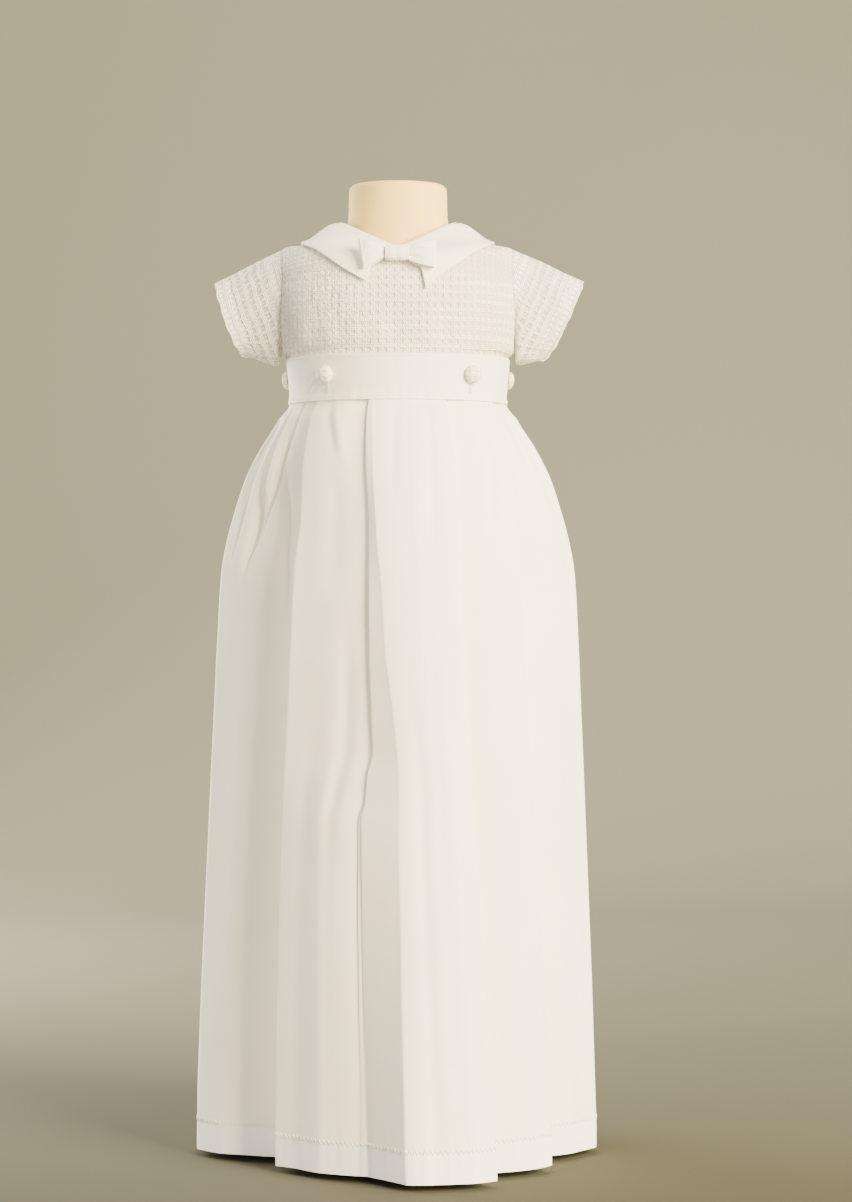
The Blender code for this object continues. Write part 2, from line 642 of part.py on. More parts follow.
def build_buttons(material, collection):
    """The waistband's buttons, and those of the back opening."""
    for number, angle in enumerate(WAIST_BUTTON_ANGLES, 1):
        place, outward = band_surface(angle, WAIST_BUTTON_LEVEL)
        build_button(
            f"waist_button_{number}", place, outward,
            WAIST_BUTTON_DIAMETER, WAIST_BUTTON_HEIGHT, material, collection,
        )
    for number, height in enumerate(BACK_BUTTON_LEVELS, 1):
        level = min(
            (k / 100 for k in range(100, 100 * NECKLINE_LEVEL)),
            key=lambda k: abs(bodice_surface(180, k).z - height),
        )
        place = bodice_surface(180, level)
        outward = (bodice_point(180, level, 0.01) - place).normalized()
        build_button(
            f"back_button_{number}", place, outward,
            BACK_BUTTON_DIAMETER, BACK_BUTTON_HEIGHT, material, collection,
        )


def fold_place(fold, layer, key):
    """A fold's place on one of its layers at waist, hip or hem, as shares of width and depth."""
    if key == "waist":
        inset = layer * LAYER_PITCH
        s, c = math.sin(math.radians(fold.waist)), math.cos(math.radians(fold.waist))
        return s * (1 - inset / WAIST_HALF_WIDTH), c * (1 - inset / WAIST_FRONT_DEPTH)
    x, depth = (fold.hip_x, fold.hip_depth) if key == "hip" else (fold.hem_x, fold.hem_depth)
    outline = row_at(SKIRT_OUTLINE, HIP_HEIGHT if key == "hip" else HEM_HEIGHT)
    middle = (fold.layer_in + fold.layer_out) / 2
    half_nose = (middle - layer) * LAYER_PITCH
    if key == "hem" and fold.open_at_hem:
        open_nose = OPEN_NOSE_DEPTH * half_nose
        return x + half_nose / outline.half_width, depth + open_nose / outline.front_depth
    return x, depth + half_nose / outline.front_depth


def stretch_points(start, end, stretch, key):
    """The points of the cloth between two folds at waist, hip or hem, as shares."""
    x0, d0 = fold_place(start, start.layer_out, key)
    x1, d1 = fold_place(end, end.layer_in, key)
    points = []
    for k in range(stretch.steps + 1):
        t = k / stretch.steps
        if key == "waist":
            layer = mix(start.layer_out, end.layer_in, ease(t, stretch.slip_start, stretch.slip_end))
            angle = math.radians(mix(start.waist, end.waist, t))
            inset = layer * LAYER_PITCH
            points.append(
                (
                    math.sin(angle) * (1 - inset / WAIST_HALF_WIDTH),
                    math.cos(angle) * (1 - inset / WAIST_FRONT_DEPTH),
                )
            )
        else:
            along = Vector((x1 - x0, d1 - d0)).normalized()
            bulge = stretch.bulge * max(math.sin(math.pi * t**stretch.lean), 0.0) ** BULGE_FULLNESS
            points.append((mix(x0, x1, t) - along.y * bulge, mix(d0, d1, t) + along.x * bulge))
    return points


def gather_depth(gathers, stretch_index, t, height):
    """How far the gathers draw the cloth in at a place along a stretch."""
    depth = 0.0
    for gather in gathers:
        if gather.stretch != stretch_index or height <= gather.end:
            continue
        fall = (WAIST_HEIGHT - height) / (WAIST_HEIGHT - gather.end)
        centre = mix(gather.top, gather.low, fall)
        swell = mix(GATHER_SEWN_SHARE, 1.0, ease(fall, 0.0, GATHER_DEEPEST))
        swell *= 1 - ease(fall, GATHER_FADE, 1.0)
        swell *= ease(t, 0.0, GATHER_MARGIN) * (1 - ease(t, 1 - GATHER_MARGIN, 1.0))
        depth += gather.depth * swell * math.exp(-(((t - centre) / gather.width) ** 2))
    return depth


def skirt_rows(folds, stretches, gathers, facing):
    """The rows of half of the skirt. Facing is -1 for the front and 1 for the back."""
    rows = []
    keys = {
        key: [stretch_points(a, b, s, key) for a, b, s in zip(folds, folds[1:], stretches)]
        for key in ("waist", "hip", "hem")
    }
    for height in SKIRT_ROWS:
        outline = row_at(SKIRT_OUTLINE, height)
        depth_here = outline.front_depth if facing < 0 else outline.back_depth
        to_hip = min((WAIST_HEIGHT - height) / (WAIST_HEIGHT - HIP_HEIGHT), 1.0)
        to_hip = 1 - (1 - max(to_hip, 0.0)) ** HIP_ROUNDNESS
        to_hem = max((HIP_HEIGHT - height) / (HIP_HEIGHT - HEM_HEIGHT), 0.0)
        row = []
        for index, stretch in enumerate(stretches):
            single = index > 0 and folds[index].layer_in == folds[index].layer_out
            for k in range(1 if single else 0, stretch.steps + 1):
                waist, hip, hem = (keys[key][index][k] for key in ("waist", "hip", "hem"))
                share = [mix(mix(w, h, to_hip), m, to_hem) for w, h, m in zip(waist, hip, hem)]
                point = Vector((-facing * share[0] * outline.half_width, facing * share[1] * depth_here, 0))
                drawn = gather_depth(gathers, index, k / stretch.steps, height)
                point *= 1 - drawn / point.length
                point.z = height
                row.append(point)
        for end, step in ((0, 1), (-1, -1)):
            row[end + step].x = mix(row[end + step].x, row[end].x, SIDE_SEAM_PULL)
            row[end + 2 * step].x = mix(row[end + 2 * step].x, row[end].x, SIDE_SEAM_PULL_NEXT)
            row[end].y += math.copysign(SEAM_TRIM, row[end + step].y - row[end].y)
        rows.append(row)
    return rows


def build_skirt(material, collection):
    """The pleated skirt: a front and a back panel, joined at the side seams."""
    cloth("skirt_front", skirt_rows(FRONT_FOLDS, FRONT_STRETCHES, FRONT_GATHERS, -1), material, collection)
    cloth("skirt_back", skirt_rows(BACK_FOLDS, BACK_STRETCHES, BACK_GATHERS, 1), material, collection)


def main():
    """Clears the scene and builds the gown, the dress form and the stand."""
    for old in list(bpy.data.objects):
        bpy.data.objects.remove(old)
    collection = bpy.data.collections.new("christening_gown")
    bpy.context.scene.collection.children.link(collection)
    plain = make_material("plain_cotton", WHITE_COTTON, 0.85)
    woven = make_material("woven_cotton", WOVEN_COTTON, 0.9)
    jersey = make_material("form_jersey", FORM_JERSEY, 0.9)
    paint = make_material("stand_paint", STAND_PAINT, 0.45)
    build_dress_form(jersey, collection)
    build_stand(paint, collection)
    build_bodice_front(woven, collection)
    for side, cuff, point in ((-1, LEFT_CUFF, LEFT_POINT), (1, RIGHT_CUFF, RIGHT_POINT)):
        build_bodice_back(side, woven, collection)
        build_sleeve(side, cuff, woven, collection)
        build_collar(side, point, plain, collection)
        build_bow_loop(side, plain, collection)
    build_bow_knot(plain, collection)
    build_waistband(plain, collection)
    build_skirt(plain, collection)
    build_buttons(woven, collection)


main()
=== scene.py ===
"""Dresses the christening gown: its cloth, its sewing, the form's jersey and the stand's paint.

Metres, +Z up. The front faces -Y, and left and right are as seen from the front. Angles round the
body start at the centre front and grow towards +X: 90 is the right side, 180 the centre back.
"""

import json
import logging
import math
from dataclasses import dataclass
from enum import Enum
from typing import NamedTuple, Optional, Sequence, Union

import bmesh
import bpy
import numpy as np
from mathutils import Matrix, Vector

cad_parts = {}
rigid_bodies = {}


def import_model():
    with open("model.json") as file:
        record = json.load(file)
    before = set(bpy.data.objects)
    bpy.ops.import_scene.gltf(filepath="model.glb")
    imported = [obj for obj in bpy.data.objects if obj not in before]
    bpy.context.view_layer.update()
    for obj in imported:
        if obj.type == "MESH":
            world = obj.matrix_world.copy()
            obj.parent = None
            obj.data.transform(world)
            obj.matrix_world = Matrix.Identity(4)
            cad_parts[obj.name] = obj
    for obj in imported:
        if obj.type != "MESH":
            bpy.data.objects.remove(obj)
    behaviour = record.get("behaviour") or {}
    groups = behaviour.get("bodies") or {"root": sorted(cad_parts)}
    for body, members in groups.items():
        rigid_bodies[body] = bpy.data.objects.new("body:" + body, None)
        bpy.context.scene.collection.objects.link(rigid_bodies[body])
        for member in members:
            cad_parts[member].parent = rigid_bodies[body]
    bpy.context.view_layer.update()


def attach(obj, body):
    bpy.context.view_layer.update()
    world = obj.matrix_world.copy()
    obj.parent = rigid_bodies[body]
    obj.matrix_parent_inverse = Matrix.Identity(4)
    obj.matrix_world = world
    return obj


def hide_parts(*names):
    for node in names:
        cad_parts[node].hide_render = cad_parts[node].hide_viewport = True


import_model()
LOG = logging.getLogger("gown")

BODY = "root"
CUT_MAP = "cut"
OUTWARD = "outward"
ALONG_X = (1.0, 0.0, 0.0)
ALONG_Z = (0.0, 0.0, 1.0)
THREAD_POINTS = 5
THREAD_SIDES = 5
PITCH_OF_LAYERS = 0.0018
PITCH_OF_CENTRE = 0.0012
PITCH_AT_SEAM = 0.0009
WALL_GAP = 0.0003

Number = Union[float, "Sock"]


class Slot(Enum):
    """The record's material slots."""

    PLAIN = "plain_cotton"
    WOVEN = "woven_cotton"
    JERSEY = "form_jersey"
    PAINT = "stand_paint"


class Side(Enum):
    """Which half of the body a piece is on, as seen from the front."""

    LEFT = -1
    RIGHT = 1

    @property
    def label(self) -> str:
        """The side's name in a piece's name."""
        return self.name.lower()


# ---------------------------------------------------------------- numbers


def mix(a, b, share):
    """The value that lies that share of the way from a to b."""
    return a + (b - a) * share


def ease(value, start: float, end: float) -> np.ndarray:
    """0 before start, 1 after end, and a smooth rise between them."""
    share = np.clip((np.asarray(value, float) - start) / (end - start), 0.0, 1.0)
    return share * share * (3 - 2 * share)


def signed_power(value: np.ndarray, power) -> np.ndarray:
    """A power of a value's size, with the value's own sign."""
    return np.sign(value) * np.abs(value) ** power


def along(rows: Sequence[Sequence[float]], place) -> list[np.ndarray]:
    """Reads a table at fractional row numbers, on smooth curves that never overshoot its rows.

    Args:
        rows: The table, one row of numbers each.
        place: The fractional row numbers.

    Returns:
        One array for each column.
    """
    table = np.array(rows, float)
    place = np.asarray(place, float)
    last = len(table) - 1
    index = np.clip(np.floor(place).astype(int), 0, last - 1)
    t = (place - index)[..., None]
    steps = np.diff(table, axis=0)
    padded = np.concatenate([np.zeros_like(steps[:1]), steps, np.zeros_like(steps[:1])])
    before, after = padded[:-1], padded[1:]
    together = before * after
    total = np.where(together > 0, before + after, 1.0)
    slopes = np.where(together > 0, 2 * together / total, 0.0)
    p1, p2 = table[index], table[index + 1]
    swing = slopes[index] * (1 - t) - slopes[index + 1] * t
    smooth = p1 + (p2 - p1) * t * t * (3 - 2 * t) + t * (1 - t) * swing
    inside = (t >= 0) & (t <= 1)
    values = np.where(inside, smooth, p1 + (p2 - p1) * t)
    return [values[..., column] for column in range(table.shape[1])]


def row_of(rows: Sequence[Sequence[float]], value) -> np.ndarray:
    """The fractional row numbers where a table's first column has those values."""
    first = np.array([row[0] for row in rows], float)
    places = np.arange(len(rows), dtype=float)
    if first[-1] < first[0]:
        return np.interp(value, first[::-1], places[::-1])
    return np.interp(value, first, places)


def bump_curve(value, centre, width: float) -> np.ndarray:
    """A smooth hill of height 1 round a centre."""
    return np.exp(-(((np.asarray(value) - centre) / width) ** 2))


def ripple(seed: int, places: np.ndarray, waves: Sequence[float]) -> np.ndarray:
    """A gentle uneven wave, between about -1 and 1.

    Args:
        seed: Settles the waves' phases.
        places: Where the wave is read.
        waves: The wavelengths that are added up.

    Returns:
        The wave's height at each place.
    """
    phases = np.random.default_rng(seed).uniform(0, 2 * math.pi, len(waves))
    total = sum(np.sin(2 * math.pi * places / wave + phase) for wave, phase in zip(waves, phases))
    return total / len(waves)


def unit(vectors: np.ndarray) -> np.ndarray:
    """The same directions, at length 1."""
    return vectors / np.maximum(np.linalg.norm(vectors, axis=-1, keepdims=True), 1e-12)


def walked(points: np.ndarray) -> np.ndarray:
    """How far each point of a line lies from its first, along the line."""
    return np.concatenate([[0], np.cumsum(np.linalg.norm(np.diff(points, axis=0), axis=-1))])


def to_last_row(points: np.ndarray) -> np.ndarray:
    """How far each point of a surface lies from its last row, down its column."""
    steps = np.linalg.norm(np.diff(points, axis=0), axis=-1)
    return np.concatenate([np.cumsum(steps[::-1], axis=0)[::-1], np.zeros_like(steps[:1])])


# ---------------------------------------------------------------- meshes


@dataclass
class Grid:
    """A surface as rows of points, with the place of each in the flat cloth.

    Attributes:
        points: Rows by columns by 3, in metres.
        cut: Rows by columns by 2, the flat cloth's own metres. A closed grid has one column more.
        closed: Whether the last column joins the first.
    """

    points: np.ndarray
    cut: np.ndarray
    closed: bool = False

    def slopes(self) -> tuple[np.ndarray, np.ndarray]:
        """The surface's steps from row to row, and from column to column."""
        if self.closed:
            wide = np.concatenate([self.points[:, -1:], self.points, self.points[:, :1]], axis=1)
            return np.gradient(self.points, axis=0), (wide[:, 2:] - wide[:, :-2]) / 2
        return np.gradient(self.points, axis=0), np.gradient(self.points, axis=1)

    def normals(self) -> np.ndarray:
        """The surface's unit normals, on the side that columns x rows faces."""
        return unit(np.cross(*self.slopes()))

    def area(self) -> float:
        """The surface's area."""
        points = self.points
        if self.closed:
            points = np.concatenate([points, points[:, :1]], axis=1)
        first, second = points[1:, 1:] - points[:-1, :-1], points[1:, :-1] - points[:-1, 1:]
        return float(np.linalg.norm(np.cross(first, second), axis=-1).sum() / 2)

    def pushed(self, amount: np.ndarray) -> "Grid":
        """The same grid, moved out along its normals by that much."""
        return Grid(self.points + self.normals() * amount[..., None], self.cut, self.closed)

    def rims(self) -> list[tuple[np.ndarray, np.ndarray, np.ndarray]]:
        """The free edges, each a loop of rows, of columns and of outward directions."""
        rows, columns = self.points.shape[:2]
        down, across = (unit(slope) for slope in self.slopes())
        right = np.arange(columns)
        if self.closed:
            back = right[::-1]
            return [(0 * right, right, -down[0]), (0 * right + rows - 1, back, down[-1][back])]
        lower = np.arange(1, rows)
        r = np.concatenate([0 * right, lower, 0 * right[1:] + rows - 1, lower[:-1][::-1]])
        c = np.concatenate([right, 0 * lower + columns - 1, right[:-1][::-1], 0 * lower[:-1]])
        out = np.zeros((len(r), 3))
        for test, direction in (
            (r == 0, -down), (r == rows - 1, down), (c == 0, -across), (c == columns - 1, across),
        ):
            out[test] += direction[r[test], c[test]]
        return [(r, c, out)]

    def quads(self) -> tuple[np.ndarray, np.ndarray]:
        """The surface's quads: the numbers of their points, and their corners in the flat cloth."""
        rows, columns = self.points.shape[:2]
        r, c = np.meshgrid(np.arange(rows - 1), np.arange(columns - 1 + self.closed), indexing="ij")
        n = (c + 1) % columns
        faces = np.stack([r * columns + c, (r + 1) * columns + c, (r + 1) * columns + n, r * columns + n], -1)
        cuts = np.stack([self.cut[r, c], self.cut[r + 1, c], self.cut[r + 1, c + 1], self.cut[r, c + 1]], -2)
        return faces.reshape(-1, 4), cuts.reshape(-1, 4, 2)

    def shell(self, name: str, thickness: float, roundness: float = 0.7) -> bpy.types.Mesh:
        """Builds a closed wall round the surface.

        Args:
            name: The mesh's name.
            thickness: The wall's thickness.
            roundness: How far its free edges bow out, as a share of half the thickness.

        Returns:
            The closed shell, with the flat cloth's metres as its UV map.
        """
        rows, columns = self.points.shape[:2]
        total = rows * columns
        normal = self.normals() * thickness / 2
        places = [(self.points + normal).reshape(-1, 3), (self.points - normal).reshape(-1, 3)]
        outer, cuts = self.quads()
        faces = [outer, outer[:, ::-1] + total]
        maps = [cuts, cuts[:, ::-1]]
        count = 2 * total
        on_edge = np.zeros(2 * total, bool)
        for rim_rows, rim_columns, out in self.rims():
            start = rim_rows * columns + rim_columns
            middle = self.points[rim_rows, rim_columns] + out * thickness / 2 * roundness
            places.append(middle)
            following = np.roll(start, -1)
            bow = count + np.arange(len(start))
            faces.append(np.stack([start, following, np.roll(bow, -1), bow], -1))
            faces.append(np.stack([bow, np.roll(bow, -1), following + total, start + total], -1))
            place = self.cut[rim_rows, rim_columns]
            step = np.stack([place, place, place, place], 1)
            maps += [step, step]
            on_edge[start] = True
            on_edge[start + total] = True
            count += len(start)
        mesh = quad_mesh(name, np.concatenate(places), np.concatenate(faces), np.concatenate(maps))
        ends = np.empty(len(mesh.edges) * 2, int)
        mesh.edges.foreach_get("vertices", ends)
        ends = ends.reshape(-1, 2)
        flat = np.concatenate([on_edge, np.zeros(count - 2 * total, bool)])
        sharp = mesh.attributes.new("sharp_edge", "BOOLEAN", "EDGE")
        sharp.data.foreach_set("value", flat[ends[:, 0]] & flat[ends[:, 1]])
        mesh.update()
        return mesh

    def mesh(self, name: str) -> bpy.types.Mesh:
        """The surface alone, without a wall."""
        return quad_mesh(name, self.points.reshape(-1, 3), *self.quads())


def quad_mesh(name: str, places: np.ndarray, faces: np.ndarray, cuts: np.ndarray) -> bpy.types.Mesh:
    """Builds a smooth mesh of quads.

    Args:
        name: The mesh's name.
        places: The points.
        faces: The numbers of each quad's points.
        cuts: Each quad's corners in the flat cloth's metres.

    Returns:
        The mesh, with the flat cloth as its UV map.
    """
    mesh = bpy.data.meshes.new(name)
    mesh.from_pydata(places.tolist(), [], faces.tolist())
    layer = mesh.uv_layers.new(name=CUT_MAP)
    layer.data.foreach_set("uv", cuts.reshape(-1).astype(np.float32))
    mesh.polygons.foreach_set("use_smooth", np.ones(len(mesh.polygons), bool))
    mesh.update()
    return mesh


def link(name: str, mesh: bpy.types.Mesh, material: bpy.types.Material) -> bpy.types.Object:
    """Makes a named object of a mesh, with one material.

    Args:
        name: The piece's name.
        mesh: Its mesh, with its place in the mesh itself.
        material: What the whole piece is finished in.

    Returns:
        The object, linked into the scene.
    """
    mesh.materials.clear()
    mesh.materials.append(material)
    piece = bpy.data.objects.new(name, mesh)
    bpy.context.scene.collection.objects.link(piece)
    return piece


def settle(piece: bpy.types.Object) -> bpy.types.Object:
    """Turns a piece's modifiers into a plain mesh.

    Args:
        piece: An object whose modifiers are to be applied.

    Returns:
        The same object, without modifiers.
    """
    bpy.context.view_layer.update()
    graph = bpy.context.evaluated_depsgraph_get()
    done = bpy.data.meshes.new_from_object(piece.evaluated_get(graph), depsgraph=graph)
    old = piece.data
    piece.modifiers.clear()
    piece.data = done
    done.name = piece.name
    if isinstance(old, bpy.types.Mesh) and old.users == 0:
        bpy.data.meshes.remove(old)
    return piece


def cloth(name: str, grid: Grid, material: bpy.types.Material, thickness: float) -> bpy.types.Object:
    """Gives a surface the wall of a cloth.

    Args:
        name: The piece's name.
        grid: The middle of the wall.
        material: The cloth's finish.
        thickness: The wall's thickness.

    Returns:
        The closed shell.
    """
    return link(name, grid.shell(name, thickness), material)


def turned(name: str, profile: Sequence[tuple[float, float]], steps: int) -> bpy.types.Mesh:
    """Turns a profile about Z into a closed mesh.

    Args:
        name: The mesh's name.
        profile: Radius and height, from the top down the outer side. Ends lie on the axis.
        steps: How many faces go round.

    Returns:
        The turned mesh, with its normals outwards and a flat UV map seen from above.
    """
    mesh = bmesh.new()
    rings: list[list[bmesh.types.BMVert]] = []
    for radius, height in profile:
        if radius == 0:
            rings.append([mesh.verts.new((0, 0, height))] * steps)
            continue
        angles = (2 * math.pi * k / steps for k in range(steps))
        rings.append([mesh.verts.new((radius * math.cos(a), radius * math.sin(a), height)) for a in angles])
    for upper, lower in zip(rings, rings[1:]):
        for k in range(steps):
            n = (k + 1) % steps
            corners = list(dict.fromkeys((upper[k], lower[k], lower[n], upper[n])))
            mesh.faces.new(corners)
    bmesh.ops.recalc_face_normals(mesh, faces=mesh.faces)
    layer = mesh.loops.layers.uv.new(CUT_MAP)
    for face in mesh.faces:
        face.smooth = True
        for loop in face.loops:
            loop[layer].uv = loop.vert.co.xy
    made = bpy.data.meshes.new(name)
    mesh.to_mesh(made)
    mesh.free()
    return made


# ---------------------------------------------------------------- shader building


class Sock:
    """A node's value that Python's operators work on, each through its own Math node."""

    def __init__(self, owner: "NodeBuilder", socket: bpy.types.NodeSocket) -> None:
        """Wraps one output socket."""
        self.owner = owner
        self.socket = socket

    def __add__(self, other: Number) -> "Sock":
        """This value plus another."""
        return self.owner.maths("ADD", self, other)

    def __sub__(self, other: Number) -> "Sock":
        """This value less another."""
        return self.owner.maths("SUBTRACT", self, other)

    def __mul__(self, other: Number) -> "Sock":
        """This value times another."""
        return self.owner.maths("MULTIPLY", self, other)

    def __truediv__(self, other: Number) -> "Sock":
        """This value over another."""
        return self.owner.maths("DIVIDE", self, other)

    def __rsub__(self, other: float) -> "Sock":
        """A number less this value."""
        return self.owner.maths("SUBTRACT", other, self)

    __radd__ = __add__
    __rmul__ = __mul__

    def fraction(self) -> "Sock":
        """The part after the decimal point."""
        return self.owner.maths("FRACT", self)

    def size(self) -> "Sock":
        """The value without its sign."""
        return self.owner.maths("ABSOLUTE", self)

    def sine(self) -> "Sock":
        """The sine of the value in radians."""
        return self.owner.maths("SINE", self)

    def larger(self, other: Number) -> "Sock":
        """The larger of two values."""
        return self.owner.maths("MAXIMUM", self, other)

    def rise(self, start: float, end: float) -> "Sock":
        """0 below start and 1 above end, smooth between them. Start may be above end."""
        falling = start > end
        low, high = (end, start) if falling else (start, end)
        ends = {"From Min": low, "From Max": high, "To Min": 1.0 * falling, "To Max": 1.0 - falling}
        smooth = {"interpolation_type": "SMOOTHSTEP"}
        node = self.owner.node("ShaderNodeMapRange", smooth, {"Value": self, **ends})
        return Sock(self.owner, node.outputs[0])


class NodeBuilder:
    """Adds nodes to the tree of a material or of a modifier."""

    tree: bpy.types.NodeTree

    def node(
        self, kind: str, settings: Optional[dict] = None, inputs: Optional[dict] = None
    ) -> bpy.types.Node:
        """Adds any node.

        Args:
            kind: The node's type.
            settings: Its properties, set first.
            inputs: Values or links of its sockets, by name or number.

        Returns:
            The new node.
        """
        made = self.tree.nodes.new(kind)
        for key, value in (settings or {}).items():
            setattr(made, key, value)
        for key, value in (inputs or {}).items():
            self.plug(made.inputs[key], value)
        return made

    def plug(self, target: bpy.types.NodeSocket, value) -> None:
        """Links a value into a socket, or sets it there."""
        source = value.socket if isinstance(value, Sock) else value
        if isinstance(source, bpy.types.NodeSocket):
            self.tree.links.new(source, target)
        else:
            target.default_value = source

    def maths(self, operation: str, *values: Number) -> Sock:
        """Adds a Math node of that operation, and wraps its result."""
        node = self.node("ShaderNodeMath", {"operation": operation}, dict(enumerate(values)))
        return Sock(self, node.outputs[0])


class Paint(NodeBuilder):
    """Builds the node tree of one material."""

    def __init__(self, name: str) -> None:
        """Starts an empty material of that name."""
        self.material = bpy.data.materials.new(name)
        self.material.use_nodes = True
        self.tree = self.material.node_tree
        self.tree.nodes.clear()

    def cut_place(self) -> tuple[Sock, Sock, bpy.types.NodeSocket]:
        """The place in the flat cloth: across, along, and both as a vector."""
        source = self.node("ShaderNodeUVMap", {"uv_map": CUT_MAP}).outputs[0]
        parts = self.node("ShaderNodeSeparateXYZ", None, {0: source})
        return Sock(self, parts.outputs[0]), Sock(self, parts.outputs[1]), source

    def object_place(self) -> bpy.types.NodeSocket:
        """The place in the object's own metres."""
        return self.node("ShaderNodeTexCoord").outputs["Object"]

    def noise(self, place: bpy.types.NodeSocket, scale: Sequence[float], detail: float = 2.0) -> Sock:
        """Smooth noise between about 0 and 1.

        Args:
            place: Where it is read, in metres.
            scale: How many of its waves a metre holds, along X, Y and Z.
            detail: How many finer octaves are added.

        Returns:
            The noise's value.
        """
        stretched = self.node("ShaderNodeMapping", None, {"Vector": place, "Scale": tuple(scale)})
        made = self.node(
            "ShaderNodeTexNoise", {"noise_dimensions": "3D"},
            {"Vector": stretched.outputs[0], "Scale": 1.0, "Detail": detail, "Roughness": 0.55},
        )
        return Sock(self, made.outputs[0])

    def blend(self, factor: Number, first, second) -> bpy.types.NodeSocket:
        """A colour between two, through a Mix node."""
        made = self.node("ShaderNodeMix", {"data_type": "RGBA"}, {0: factor, 6: first, 7: second})
        return made.outputs[2]

    def bump(self, height: Sock, distance: float) -> bpy.types.NodeSocket:
        """The normal of a relief of that height, in metres at height 1."""
        made = self.node("ShaderNodeBump", None, {"Height": height, "Distance": distance, "Strength": 1.0})
        return made.outputs[0]

    def finish(self, **inputs) -> bpy.types.Material:
        """Adds the surface shader and the output.

        Args:
            **inputs: The shader's sockets, with underscores for the spaces in their names.

        Returns:
            The finished material.
        """
        named = {key.replace("_", " "): value for key, value in inputs.items()}
        shader = self.node("ShaderNodeBsdfPrincipled", None, named)
        self.node("ShaderNodeOutputMaterial", None, {"Surface": shader.outputs[0]})
        return self.material


def tint(red: int, green: int, blue: int) -> tuple[float, float, float, float]:
    """A colour given as it is seen, 0 to 255, as the shader's own numbers."""
    def straight(value: int) -> float:
        """One channel, from its shown value to its light."""
        share = value / 255
        return share / 12.92 if share <= 0.04045 else ((share + 0.055) / 1.055) ** 2.4

    return straight(red), straight(green), straight(blue), 1.0


# ---------------------------------------------------------------- finishes


@dataclass(frozen=True)
class PlainCotton:
    """Smooth white cotton lawn: a fine weave with faint slubs, and a doubled hem.

    Attributes:
        name: The material's name.
        colour: The cloth's own colour.
        thread: The width of one thread.
        hem: How far a doubled hem reaches from the cloth's edge at 0, or 0 for none.
        relief: How high the weave stands, in metres.
    """

    name: str
    colour: tuple = tint(251, 247, 228)
    shade: tuple = tint(243, 237, 220)
    thread: float = 0.00042
    hem: float = 0.0
    relief: float = 0.00010

    def make(self) -> bpy.types.Material:
        """Builds the material."""
        paint = Paint(self.name)
        across, up, place = paint.cut_place()
        turn = 2 * math.pi / self.thread
        weave = (across * turn).sine() * (up * turn).sine()
        slub = paint.noise(place, (900.0, 45.0, 1.0), 3.0)
        weft = paint.noise(place, (60.0, 1100.0, 1.0), 2.0)
        cloudy = paint.noise(place, (22.0, 14.0, 1.0), 3.0)
        mottled = cloudy.rise(0.35, 0.7) * 0.55 + slub.rise(0.55, 0.8) * 0.25
        colour = paint.blend(mottled, self.colour, self.shade)
        relief = weave * 0.10 + slub * 0.45 + weft * 0.35
        if self.hem:
            doubled = up.rise(self.hem + 0.0006, self.hem - 0.0002)
            colour = paint.blend(doubled * 0.6, colour, tint(255, 253, 248))
            relief = relief + doubled * 2.2
        return paint.finish(
            Base_Color=colour,
            Roughness=slub.rise(0.2, 0.8) * 0.08 + 0.80,
            Normal=paint.bump(relief, self.relief),
            Sheen_Weight=0.12,
            Sheen_Roughness=0.5,
            Specular_IOR_Level=0.25,
        )


